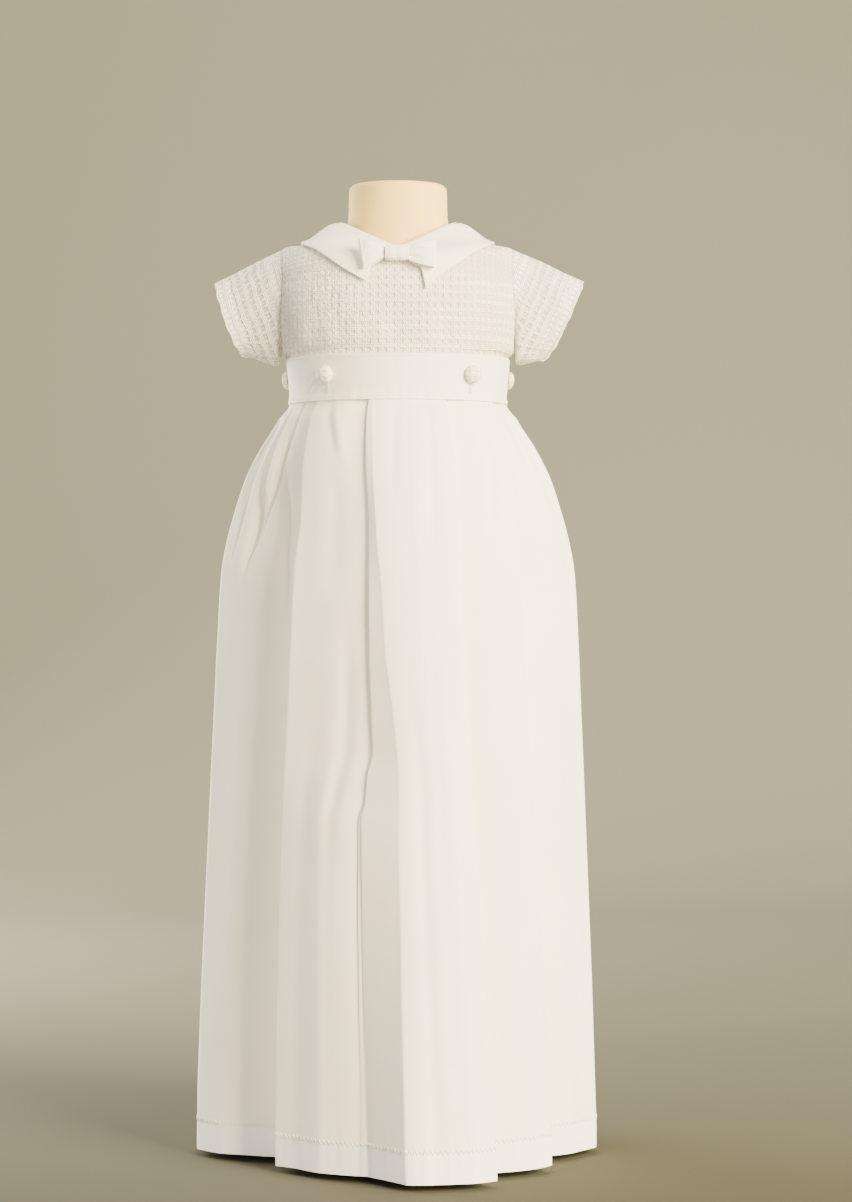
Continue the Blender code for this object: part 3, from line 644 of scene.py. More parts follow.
@dataclass(frozen=True)
class WovenCheck:
    """White cotton woven in small open checks: raised bars of thread with a thin place between, the gaps and
    grooves darkened with painted shade.

    Attributes:
        name: The material's name.
        across: The distance between two columns of gaps.
        along: The distance between two rows of gaps.
        half_width: Half a gap's width, as a share of the distance.
        half_height: Half a gap's height, as a share of the distance.
        clear: How far the gaps are see-through.
        closed_below: The cloth is doubled, and its gaps are closed, up to this far from its edge.
        closed_above: The gaps fade out above this distance from the edge.
        relief: How high the weave stands, in metres.
        groove: How far the fine upright grooves sink between the columns, and how strongly painted shade
            darkens them.
        crinkle: How strongly the cloth is crinkled.
        plain_before: The gaps are nearly closed by crinkles before this place across the cloth.
        thread: The distance between two threads of a bar.
        waver: How far the columns of gaps stray to the sides.
        sway: How far the rows of gaps stray up and down.
    """

    name: str
    across: float = 0.0059
    along: float = 0.0065
    half_width: float = 0.25
    half_height: float = 0.24
    clear: float = 0.22
    closed_below: float = -1.0
    closed_above: float = 10.0
    relief: float = 0.0011
    groove: float = 0.8
    crinkle: float = 1.3
    plain_before: float = -1.0
    thread: float = 0.00125
    waver: float = 0.0013
    sway: float = 0.0022
    colour: tuple = tint(253, 249, 235)
    # The gaps' darker colour: partly the thin weave's own look, partly painted shade standing in for what
    # lies behind them.
    gap_shade: tuple = tint(229, 211, 178)

    def make(self) -> bpy.types.Material:
        """Builds the material."""
        paint = Paint(self.name)
        across, up, place = paint.cut_place()
        waver = paint.noise(place, (120.0, 70.0, 1.0), 2.0) - 0.5
        sway = paint.noise(place, (35.0, 150.0, 1.0), 1.0) - 0.5
        u, v = across + waver * self.waver, up + sway * self.sway
        beside = ((u / self.across).fraction() - 0.5).size()
        over = ((v / self.along).fraction() - 0.5).size()
        uneven = paint.noise(place, (330.0, 300.0, 1.0), 3.0)
        in_column = beside.rise(self.half_width + 0.07, self.half_width - 0.07)
        in_row = over.rise(self.half_height + 0.06, self.half_height - 0.06)
        gap = in_column * in_row
        split = 1 - beside.rise(0.075, 0.025) * uneven.rise(0.35, 0.6) * 0.8
        open_here = gap * split * (uneven.rise(0.15, 0.6) * 0.6 + 0.4)
        shown = across.rise(self.plain_before, self.plain_before + 0.045)
        open_here = open_here * (shown * 0.75 + 0.25)
        if self.closed_below > 0:
            open_here = open_here * up.rise(self.closed_below - 0.0004, self.closed_below + 0.0004)
        if self.closed_above < 1:
            open_here = open_here * up.rise(self.closed_above, self.closed_above - 0.012)
        groove = beside.rise(0.455, 0.495)
        turn = 2 * math.pi / self.thread
        level, upright = (v * turn).sine(), ((u + v * 0.35) * turn).sine()
        crinkle = paint.noise(place, (300.0, 85.0, 1.0), 3.0)
        over_bars = (1 - in_row) * (level * 0.20 + 0.48)
        up_bars = (1 - in_column) * (upright * 0.20 + 0.52)
        relief = over_bars.larger(up_bars) - groove * self.groove * (1.8 - shown * 1.3)
        relief = relief + uneven * 0.45 + crinkle * self.crinkle * (1.6 - shown * 1.1)
        # Painted shade: the gaps and the grooves between the columns are darkened towards the gaps' colour;
        # the uneven noise adds random mottle.
        painted_shade_and_mottle = open_here * 0.85 + uneven.rise(0.5, 0.8) * 0.12 + groove * 0.30 * self.groove
        return paint.finish(
            Base_Color=paint.blend(painted_shade_and_mottle, self.colour, self.gap_shade),
            Alpha=1 - open_here * self.clear,
            Roughness=uneven * 0.1 + 0.8,
            Normal=paint.bump(relief, self.relief),
            Sheen_Weight=0.1,
            Sheen_Roughness=0.5,
            Specular_IOR_Level=0.2,
        )


@dataclass(frozen=True)
class Jersey:
    """The dress form's cream jersey cover: a fine knit with a soft mottle."""

    name: str = "cream_jersey"
    colour: tuple = tint(238, 209, 130)
    shade: tuple = tint(226, 191, 113)
    relief: float = 0.00012

    def make(self) -> bpy.types.Material:
        """Builds the material."""
        paint = Paint(self.name)
        place = paint.object_place()
        knit = paint.noise(place, (1500.0, 1500.0, 900.0), 2.0)
        mottle = paint.noise(place, (24.0, 24.0, 18.0), 4.0)
        return paint.finish(
            Base_Color=paint.blend(mottle.rise(0.3, 0.75) * 0.6 + knit * 0.15, self.colour, self.shade),
            Roughness=knit * 0.12 + 0.78,
            Normal=paint.bump(knit, self.relief),
            Sheen_Weight=0.2,
            Sheen_Roughness=0.4,
            Specular_IOR_Level=0.2,
        )


@dataclass(frozen=True)
class StandPaint:
    """The stand's satin paint on steel, with a fine orange peel and faint scuffs."""

    name: str = "satin_stand_paint"
    colour: tuple = tint(203, 200, 192)
    worn: tuple = tint(176, 172, 163)
    relief: float = 0.00006

    def make(self) -> bpy.types.Material:
        """Builds the material."""
        paint = Paint(self.name)
        place = paint.object_place()
        peel = paint.noise(place, (420.0, 420.0, 420.0), 2.0)
        scuff = paint.noise(place, (35.0, 35.0, 160.0), 5.0)
        return paint.finish(
            Base_Color=paint.blend(scuff.rise(0.55, 0.75) * 0.5, self.colour, self.worn),
            Roughness=scuff.rise(0.4, 0.8) * 0.2 + 0.34,
            Metallic=scuff.rise(0.68, 0.8) * 0.3,
            Normal=paint.bump(peel, self.relief),
        )


@dataclass(frozen=True)
class SewingThread:
    """White polyester thread with a twist and a slight shine."""

    name: str = "white_thread"
    colour: tuple = tint(247, 243, 236)
    shade: tuple = tint(226, 220, 208)
    relief: float = 0.00008

    def make(self) -> bpy.types.Material:
        """Builds the material."""
        paint = Paint(self.name)
        twist = paint.noise(paint.object_place(), (2200.0, 2200.0, 2200.0), 1.0)
        return paint.finish(
            Base_Color=paint.blend(twist.rise(0.4, 0.7), self.colour, self.shade),
            Roughness=twist * 0.1 + 0.5,
            Normal=paint.bump(twist, self.relief),
        )


@dataclass(frozen=True)
class StudioPaper:
    """The plain paper of the floor and backdrop, with painted shade: a little darker toward the camera and
    low down.
    """

    name: str = "studio_paper"
    # Painted shade: near is the dark colour at the front and low down, far the light one at the back and high
    # up.
    near: tuple = tint(63, 61, 51)
    far: tuple = tint(134, 134, 116)

    def make(self) -> bpy.types.Material:
        """Builds the material."""
        paint = Paint(self.name)
        place = paint.object_place()
        parts = paint.node("ShaderNodeSeparateXYZ", None, {0: place})
        # Painted shade: the colour runs from near to far with distance back and height, standing in for the
        # falloff of the lights.
        back = (Sock(paint, parts.outputs[1]) + Sock(paint, parts.outputs[2]) * 0.6).rise(-0.7, 2.6)
        fibre = paint.noise(place, (3.0, 3.0, 3.0), 2.0)
        colour = paint.blend(back + fibre * 0.04, self.near, self.far)
        return paint.finish(Base_Color=colour, Roughness=0.95, Specular_IOR_Level=0.1)


# ---------------------------------------------------------------- stitches


class StitchRun(NamedTuple):
    """A line of stitches: its points, the cloth's outward direction at each, and whether it is a loop."""

    points: np.ndarray
    outward: np.ndarray
    closed: bool = False


@dataclass(frozen=True)
class StitchStyle:
    """How a line is sewn.

    Attributes:
        pitch: The distance between two stitches.
        length: One stitch's length.
        radius: The thread's radius.
        swing: How far every second stitch turns from the line, in degrees, and the others back.
    """

    pitch: float = 0.0026
    length: float = 0.0020
    radius: float = 0.00018
    swing: float = 0.0


class Stitcher(NodeBuilder):
    """Sews lines of stitches with one Geometry Nodes tree."""

    def __init__(self, material: bpy.types.Material) -> None:
        """Builds the tree for that thread."""
        self.material = material
        self.tree = bpy.data.node_groups.new("stitch_line", "GeometryNodeTree")
        self.ids: dict[str, str] = {}
        self._build()

    def _input(self, name: str, kind: str) -> None:
        """Adds a named input to the tree."""
        item = self.tree.interface.new_socket(name, in_out="INPUT", socket_type=kind)
        self.ids[name] = item.identifier

    def _build(self) -> None:
        """Lays out the tree: a line, points at the pitch, a thread on each, made real."""
        self._input("Line", "NodeSocketGeometry")
        for name in ("Pitch", "Length", "Radius", "Swing"):
            self._input(name, "NodeSocketFloat")
        self.tree.interface.new_socket("Stitches", in_out="OUTPUT", socket_type="NodeSocketGeometry")
        source = self.node("NodeGroupInput").outputs
        length, radius, swing = (Sock(self, source[name]) for name in ("Length", "Radius", "Swing"))
        curve = self.node("GeometryNodeMeshToCurve", None, {"Mesh": source["Line"]})
        placed = self.node(
            "GeometryNodeResampleCurve", {"mode": "LENGTH"},
            {"Curve": curve.outputs[0], "Length": source["Pitch"]},
        )
        line = self.node(
            "GeometryNodeCurvePrimitiveLine", {"mode": "DIRECTION"}, {"Direction": ALONG_X, "Length": length}
        )
        fine = self.node(
            "GeometryNodeResampleCurve", None, {"Curve": line.outputs[0], "Count": THREAD_POINTS}
        )
        share = Sock(self, self.node("GeometryNodeSplineParameter").outputs["Factor"])
        height = (share * math.pi).sine() * radius
        shift = self.node("ShaderNodeCombineXYZ", None, {0: length * -0.5, 2: height})
        arched = self.node(
            "GeometryNodeSetPosition", None, {"Geometry": fine.outputs[0], "Offset": shift.outputs[0]}
        )
        ring = self.node(
            "GeometryNodeCurvePrimitiveCircle", None, {"Resolution": THREAD_SIDES, "Radius": radius}
        )
        thread = self.node(
            "GeometryNodeCurveToMesh", None,
            {"Curve": arched.outputs[0], "Profile Curve": ring.outputs[0], "Fill Caps": True},
        )
        tangent = self.node("GeometryNodeInputTangent").outputs[0]
        outward = self.node(
            "GeometryNodeInputNamedAttribute", {"data_type": "FLOAT_VECTOR"}, {"Name": OUTWARD}
        )
        faced = self.node("FunctionNodeAlignRotationToVector", {"axis": "Z"}, {"Vector": outward.outputs[0]})
        aimed = self.node(
            "FunctionNodeAlignRotationToVector", {"axis": "X", "pivot_axis": "Z"},
            {"Rotation": faced.outputs[0], "Vector": tangent},
        )
        odd = self.maths("MODULO", self.node("GeometryNodeInputIndex").outputs[0], 2.0)
        turn = self.maths("RADIANS", swing) * self.maths("MULTIPLY_ADD", odd, 2.0, -1.0)
        about = self.node("FunctionNodeAxisAngleToRotation", None, {"Axis": ALONG_Z, "Angle": turn})
        turned_to = self.node(
            "FunctionNodeRotateRotation", {"rotation_space": "LOCAL"},
            {"Rotation": aimed.outputs[0], "Rotate By": about.outputs[0]},
        )
        sewn = self.node(
            "GeometryNodeInstanceOnPoints", None,
            {"Points": placed.outputs[0], "Instance": thread.outputs[0], "Rotation": turned_to.outputs[0]},
        )
        real = self.node("GeometryNodeRealizeInstances", None, {"Geometry": sewn.outputs[0]})
        smooth = self.node("GeometryNodeSetShadeSmooth", None, {"Geometry": real.outputs[0]})
        dressed = self.node(
            "GeometryNodeSetMaterial", None, {"Geometry": smooth.outputs[0], "Material": self.material}
        )
        self.node("NodeGroupOutput", None, {0: dressed.outputs[0]})

    def sew(self, name: str, runs: Sequence[StitchRun], style: StitchStyle) -> bpy.types.Object:
        """Sews some lines as one piece.

        Args:
            name: The piece's name.
            runs: The lines.
            style: How they are sewn.

        Returns:
            The stitches as one plain mesh.
        """
        points = np.concatenate([run.points for run in runs])
        outward = np.concatenate([run.outward for run in runs])
        edges: list[tuple[int, int]] = []
        start = 0
        for run in runs:
            count = len(run.points)
            edges += [(start + k, start + k + 1) for k in range(count - 1)]
            if run.closed:
                edges.append((start + count - 1, start))
            start += count
        mesh = bpy.data.meshes.new(name)
        mesh.from_pydata(points.tolist(), edges, [])
        mesh.attributes.new(OUTWARD, "FLOAT_VECTOR", "POINT").data.foreach_set(
            "vector", outward.reshape(-1).astype(np.float32)
        )
        piece = link(name, mesh, self.material)
        modifier = piece.modifiers.new("stitches", "NODES")
        modifier.node_group = self.tree
        sizes = {"Pitch": style.pitch, "Length": style.length, "Radius": style.radius, "Swing": style.swing}
        for key, value in sizes.items():
            modifier[self.ids[key]] = value
        settle(piece)
        for name_left in [a.name for a in piece.data.attributes if a.name == OUTWARD]:
            piece.data.attributes.remove(piece.data.attributes[name_left])
        return piece


def report(piece: bpy.types.Object, slot: Slot, *nodes: str) -> bpy.types.Object:
    """Hands a finished piece to the frame and logs it.

    Args:
        piece: The piece, at the origin.
        slot: The material slot that it takes its finish from; not used.
        *nodes: The solids that it stands for.

    Returns:
        The same piece.
    """
    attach(piece, BODY)
    if nodes:
        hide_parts(*nodes)
    triangles = sum(len(face.vertices) - 2 for face in piece.data.polygons)
    LOG.info("%s: %d triangles", piece.name, triangles)
    return piece


def declare(piece: bpy.types.Object, grid: Grid) -> None:
    """States a shaped piece's flat cut: the rectangle it is cut from, and its own area.

    Args:
        piece: The piece.
        grid: Its surface, whose cut map is in the flat cloth's metres.
    """
    spread = grid.cut.reshape(-1, 2)
    width, length = (float(side) for side in spread.max(axis=0) - spread.min(axis=0))
    area = grid.area()
    grow = max(1.0, area / (width * length * 0.98))
    length *= grow
    LOG.info("%s: cut %.0f by %.0f mm, %.1f cm2", piece.name, width * 1000, length * 1000, area * 10000)


@dataclass(frozen=True)
class Cloth:
    """A cloth to sew with.

    Attributes:
        material: Its finish.
        slot: The record's slot for it.
        thickness: How thick its wall is.
    """

    material: bpy.types.Material
    slot: Slot
    thickness: float

    def sew(self, node: str, grid: Grid, held: str, rests_on: str) -> bpy.types.Object:
        """Args:
            node: The solid's name.
            grid: The middle of the wall.
            held: How the cloth is held; not used.
            rests_on: What it lies on or hangs from; not used.

        Returns:
            The closed shell.
        """
        piece = cloth(f"{node}_cloth", grid, self.material, self.thickness)
        report(piece, self.slot, node)
        declare(piece, grid)
        return piece


# ---------------------------------------------------------------- the body's surfaces


class Ring(NamedTuple):
    """One ring of the bodice: an oval whose front, sides and back may lie at different heights."""

    half_width: float
    front_depth: float
    back_depth: float
    side_height: float
    front_height: float
    back_height: float
    power: float
    dip: float


class Bust:
    """The bodice's surface, which the bodice, sleeves, collar and bow all follow."""

    RINGS = (
        Ring(0.0780, 0.0645, 0.0605, 0.5575, 0.5575, 0.5575, 2.0, 2.0),
        Ring(0.0804, 0.0669, 0.0629, 0.5872, 0.5885, 0.5885, 2.0, 2.0),
        Ring(0.0855, 0.0682, 0.0642, 0.5925, 0.5990, 0.5990, 2.1, 2.0),
        Ring(0.0905, 0.0680, 0.0645, 0.6250, 0.6230, 0.6250, 2.3, 2.0),
        Ring(0.0895, 0.0650, 0.0610, 0.6510, 0.6430, 0.6490, 2.3, 2.0),
        Ring(0.0840, 0.0595, 0.0545, 0.6680, 0.6555, 0.6640, 2.1, 1.8),
        Ring(0.0650, 0.0525, 0.0480, 0.6712, 0.6600, 0.6715, 2.0, 1.5),
        Ring(0.0490, 0.0450, 0.0420, 0.6805, 0.6612, 0.6790, 2.0, 1.3),
        Ring(0.0435, 0.0420, 0.0395, 0.6855, 0.6635, 0.6835, 2.0, 1.2),
    )
    NECKLINE = 8
    SHOULDER = 5
    UNDERARM = 2
    ARMHOLE_HALF_ANGLE = 23.0
    ARMHOLE_MIDDLE = (SHOULDER + UNDERARM) / 2
    ARMHOLE_HALF = (SHOULDER - UNDERARM) / 2

    @classmethod
    def surface(cls, angle, level) -> np.ndarray:
        """Points of the surface at angles round the body and fractional ring numbers."""
        angle, level = np.broadcast_arrays(np.asarray(angle, float), np.asarray(level, float))
        half_width, front, back, side_z, front_z, back_z, power, dip = along(cls.RINGS, level)
        s, c = np.sin(np.radians(angle)), np.cos(np.radians(angle))
        depth = np.where(c > 0, front, back)
        middle = np.where(c > 0, front_z, back_z)
        x = half_width * signed_power(s, 2 / power)
        y = -depth * signed_power(c, 2 / power)
        return np.stack([x, y, mix(middle, side_z, np.abs(s) ** dip)], -1)

    @classmethod
    def normal(cls, angle, level) -> np.ndarray:
        """The outward unit normals of the surface."""
        angle, level = np.asarray(angle, float), np.asarray(level, float)
        around = cls.surface(angle + 1.0, level) - cls.surface(angle - 1.0, level)
        up = cls.surface(angle, level + 0.05) - cls.surface(angle, level - 0.05)
        return unit(np.cross(around, up))

    @classmethod
    def point(cls, angle, level, out=0.0) -> np.ndarray:
        """Points of the surface, moved out along its normals."""
        return cls.surface(angle, level) + cls.normal(angle, level) * np.asarray(out, float)[..., None]

    @classmethod
    def armhole_angle(cls, level) -> np.ndarray:
        """Half the armhole's opening at a level, in degrees each side of the side seam."""
        share = np.clip((np.asarray(level, float) - cls.ARMHOLE_MIDDLE) / cls.ARMHOLE_HALF, -1, 1)
        return cls.ARMHOLE_HALF_ANGLE * np.sqrt(1 - share * share)


def straight_cut(points: np.ndarray, origin_depth: float) -> np.ndarray:
    """The flat cloth's metres for cloth that hangs straight on the bust.

    Args:
        points: The cloth's points.
        origin_depth: How far the chest stands out at the middle.

    Returns:
        Across and up, so that its threads run level and upright as the cloth is seen.
    """
    x, y, z = points[..., 0], points[..., 1], points[..., 2]
    chest_half_width, chest_top, fade, lean_back = 0.0925, 0.64, 0.02, 0.55
    across = chest_half_width * np.arcsin(np.clip(x / chest_half_width, -0.995, 0.995))
    up = z + lean_back * (origin_depth - np.abs(y)) * np.clip((z - chest_top) / fade, 0, 1)
    return np.stack([across, up], -1)


@dataclass
class Bodice:
    """The bodice: a front and two lapped halves of the back, in open checked cotton."""

    material: bpy.types.Material
    blouse: float = 0.0011
    blouse_height: float = 0.5885
    blouse_width: float = 0.0065
    folds: float = 0.0009
    folds_height: float = 0.600
    folds_width: float = 0.012
    chest: float = 0.00035
    front_origin: float = 0.068
    back_origin: float = 0.0645
    thickness: float = 0.0007
    seam_trim: float = 0.0002
    lap_angle: float = 6.0
    lap_drop: float = 0.0015
    front_columns: int = 150
    back_columns: int = 80

    FOLD_WAVES = (0.031, 0.019, 0.043)
    CHEST_WAVES = (0.052, 0.037)

    def levels(self) -> np.ndarray:
        """The rows' levels, closer together at the ends of the armhole."""
        armhole = Bust.ARMHOLE_MIDDLE - Bust.ARMHOLE_HALF * np.cos(np.linspace(0, math.pi, 46))
        return np.concatenate([np.linspace(0, 1.9, 16), armhole, np.linspace(5.08, Bust.NECKLINE, 26)])

    def slack(self, points: np.ndarray) -> np.ndarray:
        """How far the cloth stands off its smooth form: it eases over the chest and at the seams."""
        x, z = points[..., 0], points[..., 2]
        low = bump_curve(z, self.folds_height, self.folds_width)
        folds = ripple(7, x, self.FOLD_WAVES) * low * self.folds
        return folds + ripple(3, x + 0.4 * z, self.CHEST_WAVES) * self.chest

    def sew(self, node: str, points: np.ndarray, origin_depth: float) -> bpy.types.Object:
        """Builds and declares one of the bodice's pieces from its points."""
        grid = Grid(points, straight_cut(points, origin_depth))
        cotton = Cloth(self.material, Slot.WOVEN, self.thickness)
        return cotton.sew(node, grid, "stretched", "dress_form_jersey")

    def front(self) -> bpy.types.Object:
        """The front, from side seam to side seam."""
        levels = self.levels()
        depth = along(Bust.RINGS, levels)[1]
        reach = 90 - Bust.armhole_angle(levels) - np.degrees(self.seam_trim / depth)
        share = np.linspace(-1, 1, self.front_columns + 1)
        angles = reach[:, None] * share[None, :]
        points = Bust.surface(angles, np.broadcast_to(levels[:, None], angles.shape))
        edge = ease(1 - np.abs(share), 0.0, 0.06)[None, :] * ease(levels, 0.9, 1.4)[:, None]
        blouse = self.blouse * bump_curve(points[..., 2], self.blouse_height, self.blouse_width)
        slack = self.slack(points) * edge + blouse
        points = points + Bust.normal(angles, levels[:, None] + 0 * angles) * slack[..., None]
        return self.sew("bodice_front", points, self.front_origin)

    def back(self, side: Side) -> bpy.types.Object:
        """Half of the back. The halves lap at the centre, the left one underneath."""
        levels = self.levels()
        depth = along(Bust.RINGS, levels)[2]
        start = 90 + Bust.armhole_angle(levels) + np.degrees(self.seam_trim / depth)
        share = np.linspace(0, 1, self.back_columns + 1)
        angles = mix(start[:, None], 180 + self.lap_angle, share[None, :])
        drop = self.lap_drop if side is Side.LEFT else 0.0
        under = ease(angles, 180 - 3 * self.lap_angle, 180 - 1.5 * self.lap_angle)
        full = np.broadcast_to(levels[:, None], angles.shape)
        points = Bust.point(side.value * angles, full, -drop * under)
        between = ease(share, 0.0, 0.08) * (1 - ease(share, 0.7, 0.85))
        edge = between[None, :] * ease(levels, 0.9, 1.4)[:, None]
        points = points + Bust.normal(side.value * angles, full) * (self.slack(points) * edge)[..., None]
        return self.sew(f"bodice_back_{side.label}", points, self.back_origin)


class Cuff(NamedTuple):
    """A cuff's upper and lower corners as seen from the front, and half its depth."""

    upper_x: float
    upper_z: float
    lower_x: float
    lower_z: float
    half_depth: float


@dataclass
class Sleeve:
    """A short set-in sleeve with a doubled cuff edge."""

    side: Side
    cuff: Cuff
    material: bpy.types.Material
    thickness: float = 0.0008
    columns: int = 120
    steps: int = 34
    armhole_angle: float = 0.8
    armhole_level: float = 0.056
    sag: float = 0.7
    top_slope: float = 0.5
    droop: float = 0.0095
    bulge: float = 0.007
    waver: float = 0.0005
    folds: float = 0.0011

    ARRIVE_FROM = (0.086, 0.632)

    def grid(self) -> Grid:
        """The sleeve's surface, from the armhole to the cuff."""
        side, cuff = self.side.value, self.cuff
        upper = np.array([cuff.upper_x, 0, cuff.upper_z])
        lower = np.array([cuff.lower_x, 0, cuff.lower_z])
        centre, rise = (upper + lower) / 2, (upper - lower) / 2
        outward = unit(np.array([side * abs(rise[2]), 0, -side * rise[0]]))
        turn = 2 * math.pi * np.arange(self.columns) / self.columns
        sine, cosine = np.sin(turn), np.cos(turn)
        angle = 90 - (Bust.ARMHOLE_HALF_ANGLE - self.armhole_angle) * sine
        level = Bust.ARMHOLE_MIDDLE + (Bust.ARMHOLE_HALF - self.armhole_level) * cosine
        start = Bust.surface(side * angle, level)
        end = centre + rise * cosine[:, None] + np.stack([0 * sine, -cuff.half_depth * sine, 0 * sine], -1)
        end = end + outward * (self.bulge * np.abs(sine) ** 0.7 * (0.65 - 0.35 * cosine))[:, None]
        end = end + outward * (self.waver * ripple(11 + side, turn, (0.7, 0.45)))[:, None]
        reach = np.linalg.norm(end - start, axis=-1, keepdims=True)
        drop = -mix(self.sag, self.top_slope, 0.5 + 0.5 * cosine)
        leave = unit(np.stack([0 * drop + side, 0 * drop, drop], -1)) * reach
        from_x, from_z = self.ARRIVE_FROM
        arrive = unit(centre - np.array([side * from_x, 0, from_z])) * reach
        t = np.linspace(0, 1, self.steps + 1)[:, None, None]
        h0, h1, h2 = t * t * (3 - 2 * t), t**3 - 2 * t * t + t, t**3 - t * t
        points = start + (end - start) * h0 + leave * h1 + arrive * h2
        share = t[..., 0]
        under = (0.5 - 0.5 * cosine) ** 3 * ease(share, 0.0, 0.14) * (1 - share)
        points[..., 2] -= self.droop * under
        folds = ripple(21 + side, turn[None, :] - 0.5 * share, (1.15, 0.83, 0.61))
        folds = folds * np.sin(math.pi * share) ** 1.2
        from_cuff = to_last_row(points)
        up = np.concatenate([from_cuff, from_cuff[:, :1]], axis=1)
        cut = np.stack([np.broadcast_to(walked(np.concatenate([end, end[:1]])), up.shape), up], -1)
        made = Grid(points, cut, closed=True)
        outside = made.normals() * 1.0
        radial = points - points.mean(axis=1, keepdims=True)
        if np.mean(np.sum(outside * radial, -1)) < 0:
            outside = -outside
        return Grid(points + outside * (self.folds * folds)[..., None], cut, closed=True)

    def build(self) -> bpy.types.Object:
        cotton = Cloth(self.material, Slot.WOVEN, self.thickness)
        return cotton.sew(f"sleeve_{self.side.label}", self.grid(), "hung", "bodice_front_cloth")


# ---------------------------------------------------------------- collar and bow


class CollarEdge(NamedTuple):
    """Where the collar's edge lies below a place on its roll, and how far it lifts there."""

    roll_angle: float
    edge_angle: float
    edge_level: float
    lift: float


@dataclass
class Collar:
    """Half of the pointed collar: a short stand, a roll and a flat fall."""

    side: Side
    point: CollarEdge
    material: bpy.types.Material
    thickness: float = 0.0010
    columns: int = 96
    fall_steps: int = 30
    stand_level: float = 7.05
    inset: float = 0.0016
    back_inset: float = 0.0034
    clearance: float = 0.0016
    seam_in: float = 0.0026
    shoulder_puff: float = 0.0036
    seam_groove: float = 0.00016
    seam_puff: float = 0.00018

    EDGES = (
        CollarEdge(26.0, 21.0, 4.10, 0.0024),
        CollarEdge(50.0, 33.5, 4.62, 0.0020),
        CollarEdge(70.0, 53.0, 5.20, 0.0012),
        CollarEdge(90.0, 88.0, 5.72, 0.0010),
        CollarEdge(125.0, 126.0, 5.38, 0.0010),
        CollarEdge(155.0, 153.0, 5.20, 0.0010),
        CollarEdge(178.5, 176.0, 5.15, 0.0010),
    )

    def grid(self) -> Grid:
        """The collar's surface: rows run from the stand over the roll to the edge."""
        table = (self.point, *self.EDGES)
        place = np.linspace(0, len(table) - 1, self.columns + 1)
        roll_angle, edge_angle, edge_level, lift = along(table, place)
        roll = self.side.value * roll_angle
        inset = mix(self.inset, self.back_inset, ease(roll_angle, 135, 160))
        top = np.full_like(roll, Bust.NECKLINE)
        neckline = Bust.surface(roll, top)
        up = unit(neckline - Bust.surface(roll, top - 0.2)) * self.inset
        half_way = (self.stand_level + Bust.NECKLINE) / 2
        rows = [
            Bust.point(roll, top * 0 + self.stand_level, -inset),
            Bust.point(roll, top * 0 + half_way, -inset),
            Bust.point(roll, top, -inset) + up * 0.15,
            Bust.point(roll, top, -0.75 * inset) + up * 0.75,
            Bust.point(roll, top, -0.25 * inset) + up * 1.05,
            Bust.point(roll, top, 0.25 * self.clearance) + up * 1.08,
            Bust.point(roll, top, 0.7 * self.clearance) + up * 0.85,
        ]
        for t in np.linspace(0, 1, self.fall_steps + 1):
            angle = mix(roll, self.side.value * edge_angle, t)
            level = mix(top - 0.1, edge_level, t)
            swell = self.shoulder_puff * math.sin(math.pi * t) * bump_curve(roll_angle, 82.0, 30.0)
            out = mix(self.clearance, lift + self.thickness, t) + swell
            rows.append(Bust.point(angle, level, out))
        points = np.stack(rows)
        from_edge = to_last_row(points)
        across = walked(points[len(rows) // 2])
        grid = Grid(points, np.stack([np.broadcast_to(across, from_edge.shape), from_edge], -1))
        groove = bump_curve(from_edge, self.seam_in, 0.0006) * -self.seam_groove
        puff = bump_curve(from_edge, self.seam_in * 0.45, 0.0009) * self.seam_puff
        return grid.pushed(self.outer_sign(grid) * (groove + puff))

    def outer_sign(self, grid: Grid) -> float:
        """1 where the grid's normals point away from the bust, -1 where they point in."""
        place = grid.points[-2, self.columns // 2]
        out = np.array([place[0], place[1], 0.0])
        return 1.0 if float(grid.normals()[-2, self.columns // 2] @ out) > 0 else -1.0

    def build(self) -> bpy.types.Object:
        cotton = Cloth(self.material, Slot.PLAIN, self.thickness)
        return cotton.sew(f"collar_{self.side.label}", self.grid(), "folded", "bodice_front_cloth")


class LoopShape(NamedTuple):
    """A loop's outline from the front, in metres from the knot's middle.

    Root and end are its height range at the knot and at its outer end, and reach how far the end
    stands out at its top and at its bottom. Fullness is how the lower edge falls: less falls sooner.
    """

    root_top: float
    root_low: float
    end_top: float
    end_low: float
    reach_top: float
    reach_low: float
    fullness: float


